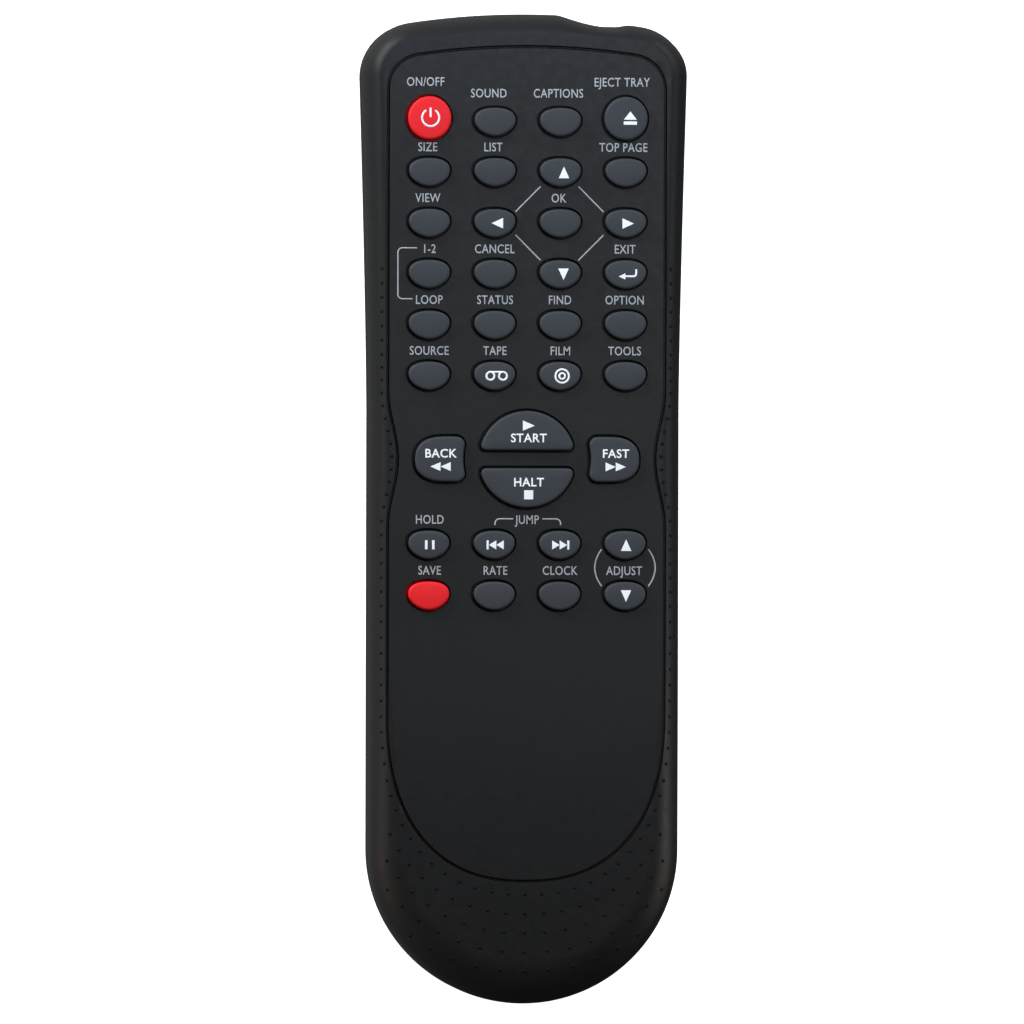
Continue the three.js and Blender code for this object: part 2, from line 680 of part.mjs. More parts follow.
function keyOutlines() {
  const keys = new Map();
  const eggRow = (names, y) => names.forEach((name, i) => keys.set(name, eggLoop(columnX(i), y)));
  eggRow(TOP_KEYS, ROUND_KEYS_Y - TOP_EGG_SETBACK);
  for (const name of ["power", "eject"]) {
    const x = columnX(TOP_KEYS.indexOf(name));
    keys.set(name, circleLoop(x, ROUND_KEYS_Y, ROUND_KEY_DIAMETER / 2, ROUND_KEY_SIDES));
  }
  MENU_KEYS.forEach((names, row) => eggRow(names, MENU_Y - row * ROW_PITCH));
  keys.set("play", discHalfLoop(1));
  keys.set("rewind", sideKeyLoop(-1));
  keys.set("forward", sideKeyLoop(1));
  keys.set("stop", discHalfLoop(-1));
  LAST_KEYS.forEach((names, row) => eggRow(names, LAST_ROWS_Y - row * ROW_PITCH));
  return keys;
}

const KEYS = keyOutlines();

// One silicone key: a flange that stays under the case, a shaft and a softly crowned face
function keyGeometry(loop) {
  const middle = middleOf(loop);
  const flange = offsetLoop(loop, KEY_CLEARANCE + FLANGE_LAP);
  const rings = [
    raise(flange, FLANGE_BOTTOM),
    raise(flange, FLANGE_TOP),
    raise(loop, FLANGE_TOP),
    raise(loop, KEY_FACE_Z - KEY_EDGE_HEIGHT),
    raise(offsetLoop(loop, -KEY_EDGE_INSET), KEY_FACE_Z),
  ];
  return skinRings(
    rings,
    new THREE.Vector3(middle.x, middle.y, FLANGE_BOTTOM),
    new THREE.Vector3(middle.x, middle.y, KEY_FACE_Z + KEY_CROWN),
  );
}

// Pins of the upper case go through the mat and the board into bosses of the lower case
const PIN_PLACES = [MENU_Y - ROW_PITCH / 2, LAST_ROWS_Y - ROW_PITCH / 2].flatMap((y) => [
  [-COLUMN_PITCH, y],
  [COLUMN_PITCH, y],
]);

const WINDOW_LOW = PART_Z;
const WINDOW_TOP = WINDOW_LOW + WINDOW_HEIGHT;
const WINDOW_FRONT =
  FRONT_Y - FRONT_ARC_RADIUS + Math.sqrt(FRONT_ARC_RADIUS ** 2 - SCALLOP_DEEPEST ** 2)
  - SCALLOP_DEPTH - WINDOW_RECESS;
const WINDOW_SEAT = WINDOW_FRONT + WINDOW_RECESS - CASE_WALL - SEAT_GAP;

function upperCaseGeometry() {
  const outer = upperOuter();
  let solid = outer.subtract(upperInner()).subtract(grooveCutter(outer));
  for (const loop of KEYS.values()) {
    const hole = offsetLoop(loop, KEY_CLEARANCE);
    solid = solid.subtract(solidOf(prism(hole, INNER_Z - CUT_OVERRUN, PANEL_Z + CUT_OVERRUN)));
  }
  const windowHalf = WINDOW_WIDTH / 2 + SEAT_GAP;
  const opening = block(
    [SCALLOP_DEEPEST - windowHalf, WINDOW_SEAT - CASE_WALL, WINDOW_LOW - CUT_OVERRUN],
    [SCALLOP_DEEPEST + windowHalf, FRONT_Y + CUT_OVERRUN, WINDOW_TOP + SEAT_GAP],
  );
  solid = solid.subtract(opening);
  for (const [x, y] of PIN_PLACES) {
    const pin = circleLoop(x, y, PIN_RADIUS, PIN_SIDES);
    solid = solid.add(solidOf(prism(pin, BOARD_BOTTOM - PIN_REACH, INNER_Z + CASE_WALL / 2)));
  }
  return geometryOf(solid);
}

const PLATE_TO_WALL = SEAT_GAP + CONTACT_THICKNESS / 2;

// Slot in the front wall of the bay for the tab of a contact
function tabSlot(x) {
  const half = CONTACT_TAB_WIDTH / 2 + SEAT_GAP;
  const top = CELL_AXIS + CONTACT_HEIGHT / 2;
  return block(
    [x - half, BAY_FRONT - CUT_OVERRUN, top - CONTACT_THICKNESS - SEAT_GAP],
    [x + half, BAY_FRONT + TRAY_WALL + CUT_OVERRUN, top + SEAT_GAP],
  );
}

// The bay is two round channels side by side, open towards the back
function bayChannels(grow, low, from, to) {
  const radius = CELL_DIAMETER / 2 + CELL_CLEARANCE + grow;
  const half = CELL_X + radius;
  let solid = block([-half, from, low], [half, to, CELL_AXIS]);
  for (const side of [-1, 1]) {
    const across = circleLoop(side * CELL_X, -CELL_AXIS, radius, BAY_CORNER_SIDES);
    const flipped = across.map(({ x, y }) => new THREE.Vector2(x, -y)).reverse();
    solid = solid.add(solidOf(barAlongY(flipped, from, to)));
  }
  return solid;
}

function doorBlank(grow, front) {
  const half = DOOR_HALF_WIDTH + grow;
  const tongue = half + TONGUE_REACH;
  const top = DOOR_THICKNESS + grow;
  const tongueLow = DOOR_THICKNESS - TONGUE_THICKNESS - grow;
  const low = grow > 0 ? -CUT_OVERRUN : 0;
  const tail = TAIL_Y - CUT_OVERRUN;
  return block([-half, tail, low], [half, front, top]).add(
    block([-tongue, tail, tongueLow], [tongue, front, top]),
  );
}

function lipRing() {
  const inner = CASE_WALL + SEAT_GAP + LIP_THICKNESS;
  const bottom = LOWER_TOP - LIP_ROOT;
  const outside = skinCase([
    raise(caseLoop(LIP_ROOT_LAP), bottom),
    raise(caseLoop(LIP_ROOT_LAP), LOWER_TOP),
    raise(caseLoop(CASE_WALL + SEAT_GAP), LOWER_TOP),
    raise(caseLoop(CASE_WALL + SEAT_GAP), PART_Z + LIP_HEIGHT),
  ]);
  const inside = skinCase([
    raise(caseLoop(inner), bottom - CUT_OVERRUN),
    raise(caseLoop(inner), PART_Z + LIP_HEIGHT + CUT_OVERRUN),
  ]);
  const windowHalf = WINDOW_WIDTH / 2 + WINDOW_FLANGE_LAP + SEAT_GAP;
  const gap = block(
    [SCALLOP_DEEPEST - windowHalf, WINDOW_SEAT - CASE_WALL - WINDOW_FLANGE, bottom],
    [SCALLOP_DEEPEST + windowHalf, FRONT_Y, PART_Z + LIP_HEIGHT + CUT_OVERRUN],
  );
  return outside.subtract(inside).subtract(gap);
}

function lowerCaseGeometry() {
  const outer = lowerOuter(LOWER_TOP);
  const hollow = skinCase([
    raise(caseLoop(HEEL_WIDTH + CASE_WALL), CASE_WALL),
    raise(caseLoop(CASE_WALL), HEEL_HEIGHT + CASE_WALL),
    raise(caseLoop(CASE_WALL), LOWER_TOP + CUT_OVERRUN),
  ]);
  const shelfTop = DOOR_THICKNESS + SEAT_GAP + RAIL_DEPTH;
  const shelfHalf = DOOR_HALF_WIDTH + TONGUE_REACH + RAIL_WIDTH;
  const shelf = block(
    [-shelfHalf, TAIL_Y, CASE_WALL / 2],
    [shelfHalf, DOOR_FRONT + RAIL_WIDTH, shelfTop],
  ).intersect(outer);
  let solid = outer.subtract(hollow).add(lipRing()).add(shelf);
  const trayFrom = BAY_TAIL - TRAY_WALL;
  const trayTo = BAY_FRONT + TRAY_WALL;
  solid = solid.add(bayChannels(TRAY_WALL, shelfTop - RAIL_DEPTH / 2, trayFrom, trayTo));
  solid = solid.subtract(bayChannels(0, -CUT_OVERRUN, BAY_TAIL, BAY_FRONT));
  solid = solid.subtract(tabSlot(-CELL_X)).subtract(tabSlot(CELL_X));
  solid = solid.subtract(doorBlank(SEAT_GAP, DOOR_FRONT + SEAT_GAP));
  for (const [x, y] of PIN_PLACES) {
    const hole = PIN_RADIUS + PIN_CLEARANCE;
    const bossLoop = circleLoop(x, y, hole + BOSS_WALL, BOSS_SIDES);
    const boss = solidOf(prism(bossLoop, CASE_WALL / 2, UNDER_BOARD));
    const bore = prism(circleLoop(x, y, hole, PIN_SIDES), CASE_WALL, UNDER_BOARD + CUT_OVERRUN);
    solid = solid.add(boss).subtract(solidOf(bore));
  }
  return geometryOf(solid);
}

// The door slides off towards the tail. Its tongues run in the rails of the lower case.
function doorGeometry() {
  let solid = doorBlank(0, DOOR_FRONT).intersect(lowerOuter(LOWER_TOP));
  const firstGroove = DOOR_FRONT - GRIP_SETBACK;
  for (let i = 0; i < GRIP_RIDGES; i += 1) {
    const y = firstGroove - i * GRIP_PITCH;
    const groove = block(
      [-GRIP_HALF_WIDTH, y - GRIP_GROOVE_WIDTH / 2, -CUT_OVERRUN],
      [GRIP_HALF_WIDTH, y + GRIP_GROOVE_WIDTH / 2, GRIP_GROOVE_DEPTH],
    );
    solid = solid.subtract(groove);
  }
  const arrowBase = firstGroove - GRIP_RIDGES * GRIP_PITCH - ARROW_GAP;
  const arrow = [
    new THREE.Vector2(-ARROW_HALF_WIDTH, arrowBase),
    new THREE.Vector2(0, arrowBase - ARROW_LENGTH),
    new THREE.Vector2(ARROW_HALF_WIDTH, arrowBase),
  ];
  return geometryOf(solid.subtract(solidOf(prism(arrow, -CUT_OVERRUN, GRIP_GROOVE_DEPTH))));
}

// Dark lens in the front edge, with a flange behind the wall that holds it
function windowGeometry() {
  const half = WINDOW_WIDTH / 2;
  const lens = block(
    [SCALLOP_DEEPEST - half, WINDOW_SEAT - WINDOW_FLANGE / 2, WINDOW_LOW],
    [SCALLOP_DEEPEST + half, WINDOW_FRONT, WINDOW_TOP],
  );
  const flangeHalf = half + WINDOW_FLANGE_LAP;
  const flange = block(
    [SCALLOP_DEEPEST - flangeHalf, WINDOW_SEAT - WINDOW_FLANGE, WINDOW_LOW],
    [SCALLOP_DEEPEST + flangeHalf, WINDOW_SEAT, WINDOW_TOP + WINDOW_FLANGE_LAP],
  );
  return geometryOf(lens.add(flange));
}

function roundedPlate(side, front, tail, corner) {
  const inner = side - corner;
  const quarter = Math.PI / 2;
  return [
    ...arcPoints(inner, tail + corner, corner, -quarter, 0, BOARD_CORNER_STEPS),
    ...arcPoints(inner, front - corner, corner, 0, quarter, BOARD_CORNER_STEPS),
    ...arcPoints(-inner, front - corner, corner, quarter, 2 * quarter, BOARD_CORNER_STEPS),
    ...arcPoints(-inner, tail + corner, corner, 2 * quarter, 3 * quarter, BOARD_CORNER_STEPS),
  ];
}

function plateWithHoles(outline, holes, low, high) {
  const shape = new THREE.Shape(outline);
  shape.holes = holes.map((hole) => new THREE.Path([...hole].reverse()));
  const geometry = new THREE.ExtrudeGeometry(shape, { depth: high - low, bevelEnabled: false });
  return geometry.translate(0, 0, low);
}

function pinHoles() {
  return PIN_PLACES.map(([x, y]) => circleLoop(x, y, PIN_RADIUS + PIN_CLEARANCE, PIN_SIDES));
}

const BOARD_HALF = BODY_HALF - BOARD_SIDE_MARGIN;

function boardGeometry() {
  const front = FRONT_Y - BOARD_FRONT_MARGIN;
  const outline = roundedPlate(BOARD_HALF, front, BOARD_TAIL, BOARD_CORNER);
  return plateWithHoles(outline, pinHoles(), BOARD_BOTTOM, BOARD_TOP);
}

// A box round a loop, with its corners cut off by a share of its sides
function chamferedBox(loop) {
  const box = new THREE.Box2().setFromPoints(loop);
  const cut = box.getSize(new THREE.Vector2()).multiplyScalar(MAT_HOLE_CHAMFER_SHARE);
  const { min, max } = box;
  return [
    new THREE.Vector2(min.x + cut.x, min.y),
    new THREE.Vector2(max.x - cut.x, min.y),
    new THREE.Vector2(max.x, min.y + cut.y),
    new THREE.Vector2(max.x, max.y - cut.y),
    new THREE.Vector2(max.x - cut.x, max.y),
    new THREE.Vector2(min.x + cut.x, max.y),
    new THREE.Vector2(min.x, max.y - cut.y),
    new THREE.Vector2(min.x, min.y + cut.y),
  ];
}

// The mat is a grid round the flanges of the keys: plain holes round the common keys, and
// holes of the keys' own outline round the disc, where the web is narrow
function matGeometry() {
  const front = FRONT_Y - MAT_FRONT_MARGIN;
  const tail = BOARD_TAIL - MAT_TAIL_LAP;
  const outline = roundedPlate(BOARD_HALF, front, tail, BOARD_CORNER);
  const grow = KEY_CLEARANCE + FLANGE_LAP + MAT_HOLE_CLEARANCE;
  const holes = [...KEYS].map(([name, loop]) => {
    const hole = offsetLoop(loop, grow);
    return DISC_KEYS.includes(name) ? hole : chamferedBox(hole);
  });
  return plateWithHoles(outline, [...holes, ...pinHoles()], BOARD_TOP + SEAT_GAP, FLANGE_TOP);
}

const LED_AXIS = (WINDOW_LOW + WINDOW_TOP) / 2;
const LED_TIP = WINDOW_SEAT - WINDOW_FLANGE - SEAT_GAP;

// Parts on the back of the board
function ledGeometry() {
  const radius = LED_DIAMETER / 2;
  const rim = LED_RIM_DIAMETER / 2;
  const domeStart = LED_LENGTH - radius;
  const profile = [
    new THREE.Vector2(0, 0),
    new THREE.Vector2(rim, 0),
    new THREE.Vector2(rim, LED_RIM_LENGTH),
    new THREE.Vector2(radius, LED_RIM_LENGTH),
  ];
  for (let i = 0; i < LED_DOME_STEPS; i += 1) {
    const turn = ((Math.PI / 2) * i) / LED_DOME_STEPS;
    profile.push(
      new THREE.Vector2(radius * Math.cos(turn), domeStart + radius * Math.sin(turn)),
    );
  }
  profile.push(new THREE.Vector2(0, LED_LENGTH));
  let solid = solidOf(new THREE.LatheGeometry(profile, LED_SIDES));
  const foot = UNDER_BOARD - LED_AXIS;
  for (const side of [-1, 1]) {
    const x = (side * LED_LEG_PITCH) / 2;
    const half = LED_LEG / 2;
    const back = -LED_LEG_LENGTH;
    solid = solid
      .add(block([x - half, back, -half], [x + half, LED_RIM_LENGTH / 2, half]))
      .add(block([x - half, back - LED_LEG, -half], [x + half, back, foot]));
  }
  return geometryOf(solid);
}

function chipGeometry() {
  const [halfX, halfY] = [CHIP_WIDTH / 2, CHIP_LENGTH / 2];
  let solid = block([-halfX, -halfY, -CHIP_HEIGHT], [halfX, halfY, 0]);
  const legPitch = CHIP_LENGTH / CHIP_LEGS;
  for (let i = 0; i < CHIP_LEGS; i += 1) {
    const y = (i - (CHIP_LEGS - 1) / 2) * legPitch;
    const half = CHIP_LEG_WIDTH / 2;
    const reach = halfX + CHIP_LEG_REACH;
    const leg = block([-reach, y - half, -CHIP_LEG_THICKNESS], [reach, y + half, 0]);
    solid = solid.add(leg);
  }
  return geometryOf(solid);
}

function capacitorGeometry() {
  const radius = CAPACITOR_DIAMETER / 2;
  const crimp = radius - CAPACITOR_CRIMP;
  const profile = [
    new THREE.Vector2(0, 0),
    new THREE.Vector2(radius, 0),
    new THREE.Vector2(crimp, CAPACITOR_CRIMP_WIDTH),
    new THREE.Vector2(radius, 2 * CAPACITOR_CRIMP_WIDTH),
    new THREE.Vector2(radius, CAPACITOR_LENGTH),
    new THREE.Vector2(0, CAPACITOR_LENGTH),
  ];
  return new THREE.LatheGeometry(profile, SMALL_PART_SIDES);
}

function resonatorGeometry() {
  const half = RESONATOR_WIDTH / 2;
  const straight = RESONATOR_LENGTH / 2 - half;
  const quarter = Math.PI / 2;
  const outline = [
    ...arcPoints(straight, 0, half, -quarter, quarter, BOARD_CORNER_STEPS),
    ...arcPoints(-straight, 0, half, quarter, 3 * quarter, BOARD_CORNER_STEPS),
  ];
  return prism(outline, -RESONATOR_HEIGHT, 0);
}

function transistorGeometry() {
  const radius = TRANSISTOR_DIAMETER / 2;
  const start = Math.asin(TRANSISTOR_FLAT / radius);
  const outline = arcPoints(0, 0, radius, -start, Math.PI + start, SMALL_PART_SIDES);
  return prism(outline, -TRANSISTOR_HEIGHT, 0);
}

function resistorGeometry() {
  const end = RESISTOR_DIAMETER / 2;
  const waist = RESISTOR_WAIST / 2;
  const profile = [
    new THREE.Vector2(0, 0),
    new THREE.Vector2(end, 0),
    new THREE.Vector2(end, RESISTOR_END),
    new THREE.Vector2(waist, RESISTOR_END + end - waist),
    new THREE.Vector2(waist, RESISTOR_LENGTH - RESISTOR_END - end + waist),
    new THREE.Vector2(end, RESISTOR_LENGTH - RESISTOR_END),
    new THREE.Vector2(end, RESISTOR_LENGTH),
    new THREE.Vector2(0, RESISTOR_LENGTH),
  ];
  return new THREE.LatheGeometry(profile, SMALL_PART_SIDES);
}

// A dry cell along Y, its flat end at zero and its nub at the other end
function cellGeometry() {
  const radius = CELL_DIAMETER / 2;
  const nub = CELL_NUB_DIAMETER / 2;
  const shoulder = CELL_LENGTH - CELL_NUB_HEIGHT;
  const profile = [
    new THREE.Vector2(0, 0),
    new THREE.Vector2(radius - CELL_EDGE, 0),
    new THREE.Vector2(radius, CELL_EDGE),
    new THREE.Vector2(radius, shoulder - CELL_EDGE),
    new THREE.Vector2(radius - CELL_EDGE, shoulder),
    new THREE.Vector2(nub, shoulder),
    new THREE.Vector2(nub, CELL_LENGTH),
    new THREE.Vector2(0, CELL_LENGTH),
  ];
  return new THREE.LatheGeometry(profile, CELL_SIDES);
}

// The coil of a contact spring: a cone that climbs along Y from its wide foot
class SpringPath extends THREE.Curve {
  getPoint(share) {
    const turn = 2 * Math.PI * SPRING_CURLS * share;
    const radius = SPRING_FOOT_RADIUS + (SPRING_TIP_RADIUS - SPRING_FOOT_RADIUS) * share;
    const climb = SPRING_WIRE / 2 + (SPRING_LENGTH - SPRING_WIRE) * share;
    return new THREE.Vector3(radius * Math.cos(turn), climb, radius * Math.sin(turn));
  }
}

function springGeometry() {
  const section = new THREE.Shape(circleLoop(0, 0, SPRING_WIRE / 2, SPRING_WIRE_SIDES));
  return new THREE.ExtrudeGeometry(section, {
    steps: SPRING_CURLS * SPRING_STEPS_PER_CURL,
    extrudePath: new SpringPath(),
    bevelEnabled: false,
  });
}

// The least gap between one curl of the spring and the next, measured on points
function springGap() {
  const path = new SpringPath();
  const steps = SPRING_CURLS * SPRING_STEPS_PER_CURL;
  const points = path.getPoints(steps);
  let least = Infinity;
  points.forEach((point, i) => {
    points.slice(i + SPRING_STEPS_PER_CURL / 2).forEach((other) => {
      least = Math.min(least, point.distanceTo(other));
    });
  });
  return least - SPRING_WIRE;
}

// Contact plates stand across the ends of the bay, each with the middle of its pad at zero
function contactPad(x) {
  const half = CONTACT_THICKNESS / 2;
  return block(
    [x - CONTACT_WIDTH / 2, -half, -CONTACT_HEIGHT / 2],
    [x + CONTACT_WIDTH / 2, half, CONTACT_HEIGHT / 2],
  );
}

// A front contact has a tab that runs through the end wall of the bay and up to the board
function frontContactGeometry() {
  const half = CONTACT_TAB_WIDTH / 2;
  const reach = PLATE_TO_WALL + TRAY_WALL + CONTACT_TAB_REACH;
  const top = CONTACT_HEIGHT / 2;
  const low = top - CONTACT_THICKNESS;
  const run = block([-half, 0, low], [half, reach, top]);
  const riser = block([-half, reach - CONTACT_THICKNESS, low], [half, reach, UNDER_BOARD - CELL_AXIS]);
  return geometryOf(contactPad(0).add(run).add(riser));
}

// The tail contact joins both cells by a strap under the ridge between the channels
function bridgeGeometry() {
  const half = CONTACT_THICKNESS / 2;
  const strap = block([-CELL_X, -half, -CONTACT_HEIGHT / 2], [CELL_X, half, 0]);
  return geometryOf(contactPad(-CELL_X).add(contactPad(CELL_X)).add(strap));
}

// Finishes of the pieces
function finish(color, roughness, metalness = 0) {
  return new THREE.MeshStandardMaterial({ color, roughness, metalness });
}

const CASE_FINISH = finish(0x2b2b2d, 0.55);
const KEY_FINISH = finish(0x444850, 0.65);
const RED_KEY_FINISH = finish(0xe0202a, 0.5);
const MAT_FINISH = finish(0x3c4046, 0.8);
const BOARD_FINISH = finish(0x8c6b38, 0.7);
const WINDOW_FINISH = finish(0x1a0d10, 0.12);
const LED_FINISH = finish(0x20242c, 0.15);
const CHIP_FINISH = finish(0x17181a, 0.5);
const CAPACITOR_FINISH = finish(0x1d2c55, 0.35);
const RESONATOR_FINISH = finish(0x2f6fb0, 0.4);
const RESISTOR_FINISH = finish(0xc9a878, 0.5);
const CONTACT_FINISH = finish(0xc4c6c8, 0.3, 1);
const CELL_FINISH = finish(0x3a3d42, 0.35, 0.4);
const RED_KEYS = ["power", "record"];

// The assembly
const handset = new THREE.Group();

function place(name, geometry, material, x = 0, y = 0, z = 0) {
  const mesh = new THREE.Mesh(geometry, material);
  mesh.name = name;
  mesh.position.set(x, y, z);
  handset.add(mesh);
  return mesh;
}

place("upper_case", upperCaseGeometry(), CASE_FINISH);
place("lower_case", lowerCaseGeometry(), CASE_FINISH);
place("battery_door", doorGeometry(), CASE_FINISH);
place("ir_window", windowGeometry(), WINDOW_FINISH);
place("keypad_mat", matGeometry(), MAT_FINISH);
place("circuit_board", boardGeometry(), BOARD_FINISH);

for (const [name, loop] of KEYS) {
  const material = RED_KEYS.includes(name) ? RED_KEY_FINISH : KEY_FINISH;
  place("key_" + name, keyGeometry(loop), material);
}

// Parts under the board, each placed by the keys above it
place("ir_led", ledGeometry(), LED_FINISH, SCALLOP_DEEPEST, LED_TIP - LED_LENGTH, LED_AXIS);
place("controller_chip", chipGeometry(), CHIP_FINISH, 0, MENU_Y - 2 * ROW_PITCH, UNDER_BOARD);
const small = UNDER_BOARD - CAPACITOR_DIAMETER / 2;
place("capacitor", capacitorGeometry(), CAPACITOR_FINISH, -COLUMN_PITCH, DISC_Y, small);
place("resonator", resonatorGeometry(), RESONATOR_FINISH, COLUMN_PITCH, DISC_Y, UNDER_BOARD);
place("transistor", transistorGeometry(), CHIP_FINISH, 0, MENU_Y, UNDER_BOARD);
const resistorZ = UNDER_BOARD - RESISTOR_DIAMETER / 2;
place("resistor", resistorGeometry(), RESISTOR_FINISH, -COLUMN_PITCH / 2, MENU_Y, resistorZ);

// Cells and contacts: the left cell points to the front, the right one to the tail
const frontPlateY = BAY_FRONT - PLATE_TO_WALL;
const tailPlateY = BAY_TAIL + PLATE_TO_WALL;
const springFoot = CONTACT_THICKNESS / 2 + SEAT_GAP;
const cellFoot = springFoot + SPRING_LENGTH + SEAT_GAP;
place("battery_left", cellGeometry(), CELL_FINISH, -CELL_X, tailPlateY + cellFoot, CELL_AXIS);
const rightCell = place("battery_right", cellGeometry(), CELL_FINISH);
rightCell.position.set(CELL_X, frontPlateY - cellFoot, CELL_AXIS);
rightCell.rotation.z = Math.PI;
place("tail_spring", springGeometry(), CONTACT_FINISH, -CELL_X, tailPlateY + springFoot, CELL_AXIS);
const frontSpring = place("front_spring", springGeometry(), CONTACT_FINISH);
frontSpring.position.set(CELL_X, frontPlateY - springFoot, CELL_AXIS);
frontSpring.rotation.z = Math.PI;
place("bridge_contact", bridgeGeometry(), CONTACT_FINISH, 0, tailPlateY, CELL_AXIS);
const frontContact = frontContactGeometry();
place("positive_contact", frontContact, CONTACT_FINISH, -CELL_X, frontPlateY, CELL_AXIS);
place("negative_contact", frontContact, CONTACT_FINISH, CELL_X, frontPlateY, CELL_AXIS);

console.log("least gap between curls of a contact spring: " + springGap().toFixed(2) + " mm");
console.log("length " + BODY_LENGTH.toFixed(1) + " mm, width " + (2 * FRONT_HALF).toFixed(1) + " mm");

export default handset;
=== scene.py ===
"""Looks of a remote control handset for a player of discs and tapes.

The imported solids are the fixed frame. The two shells, the battery door, the keys, the cells and
the contact springs are made again here as fine meshes from the same sizes, and the printing and
the grip pips are added. Lengths are in metres, with +Z out of the key face and +Y towards the
end that sends.
"""

import json
import logging
from dataclasses import dataclass, field
from enum import Enum
from functools import partial
from math import atan, atan2, ceil, copysign, cos, dist, hypot, pi, radians, sin, sqrt
from typing import Callable, Sequence

import bmesh
import bpy
from mathutils import Matrix, Vector
from mathutils.bvhtree import BVHTree

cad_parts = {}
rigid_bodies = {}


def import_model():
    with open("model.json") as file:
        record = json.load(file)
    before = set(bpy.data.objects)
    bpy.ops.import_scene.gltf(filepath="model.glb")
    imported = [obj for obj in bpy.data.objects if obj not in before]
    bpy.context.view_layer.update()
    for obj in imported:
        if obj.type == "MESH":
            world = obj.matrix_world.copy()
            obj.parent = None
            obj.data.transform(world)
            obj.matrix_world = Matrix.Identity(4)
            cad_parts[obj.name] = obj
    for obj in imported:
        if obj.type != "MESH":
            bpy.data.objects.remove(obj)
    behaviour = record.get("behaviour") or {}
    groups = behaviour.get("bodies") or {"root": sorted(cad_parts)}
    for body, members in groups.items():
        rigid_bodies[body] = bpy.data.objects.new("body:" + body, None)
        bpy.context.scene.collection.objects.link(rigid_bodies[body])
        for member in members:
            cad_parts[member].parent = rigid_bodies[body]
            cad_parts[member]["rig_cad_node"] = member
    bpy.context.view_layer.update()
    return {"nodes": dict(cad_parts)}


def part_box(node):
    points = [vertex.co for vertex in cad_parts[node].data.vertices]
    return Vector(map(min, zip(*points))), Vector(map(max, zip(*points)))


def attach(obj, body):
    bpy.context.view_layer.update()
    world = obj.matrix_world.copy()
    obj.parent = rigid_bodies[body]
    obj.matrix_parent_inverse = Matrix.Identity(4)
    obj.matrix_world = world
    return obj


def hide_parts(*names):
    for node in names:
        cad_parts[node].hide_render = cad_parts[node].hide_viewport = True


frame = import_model()

LOG = logging.getLogger("handset")
MM = 0.001
QUARTER = pi / 2
MERGE_GAP = 0.0005 * MM
ROUNDING_STEPS = 3
CELL_SIDES = 48
NOISE_REACH = (0.3, 0.7)
GRAINS_A_PATCH = 6
FINE_DETAIL = 3.0
WHITE = (1.0, 1.0, 1.0, 1.0)
Flat = tuple[float, float]
Line = list[Flat]
Place = tuple[float, float, float]
Colour = tuple[float, float, float]
Piece = bpy.types.Object
Socket = bpy.types.NodeSocket


class Body(Enum):
    """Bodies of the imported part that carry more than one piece."""

    CASE = "case"
    DOOR = "battery_door"


class Slot(Enum):
    """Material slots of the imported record, for the pieces made here."""

    CASE = "case"
    KEY = "key"
    RED_KEY = "red_key"
    WINDOW = "window"
    CONTACT = "contact"
    CELL = "cell"


class Join(Enum):
    """How one solid changes another."""

    CUT = "DIFFERENCE"
    ADD = "UNION"
    KEEP = "INTERSECT"


class Ends(Enum):
    """How the skin over a stack of rings ends."""

    FANS = "fans"
    STRIPS = "strips"
    HOOP = "hoop"


class NodeTree:
    """A tree that is built node by node."""

    def __init__(self, tree: bpy.types.NodeTree) -> None:
        """Takes the tree."""
        self.tree = tree

    def put(self, socket: Socket, value: object) -> None:
        """Links an input, or sets its value.

        Args:
            socket: The input.
            value: A value, an output socket, or a node whose first output it is.
        """
        if isinstance(value, bpy.types.Node):
            value = value.outputs[0]
        if isinstance(value, Socket):
            self.tree.links.new(value, socket)
        else:
            socket.default_value = value

    def node(self, kind: str, values: dict[object, object], **settings: object) -> bpy.types.Node:
        """Adds a node with its settings and inputs.

        Args:
            kind: Blender's name of the node type.
            values: Input names or numbers, each with what put takes.
            settings: The node's own settings.

        Returns:
            The new node.
        """
        made = self.tree.nodes.new(kind)
        for name, value in settings.items():
            setattr(made, name, value)
        for name, value in values.items():
            self.put(made.inputs[name], value)
        return made


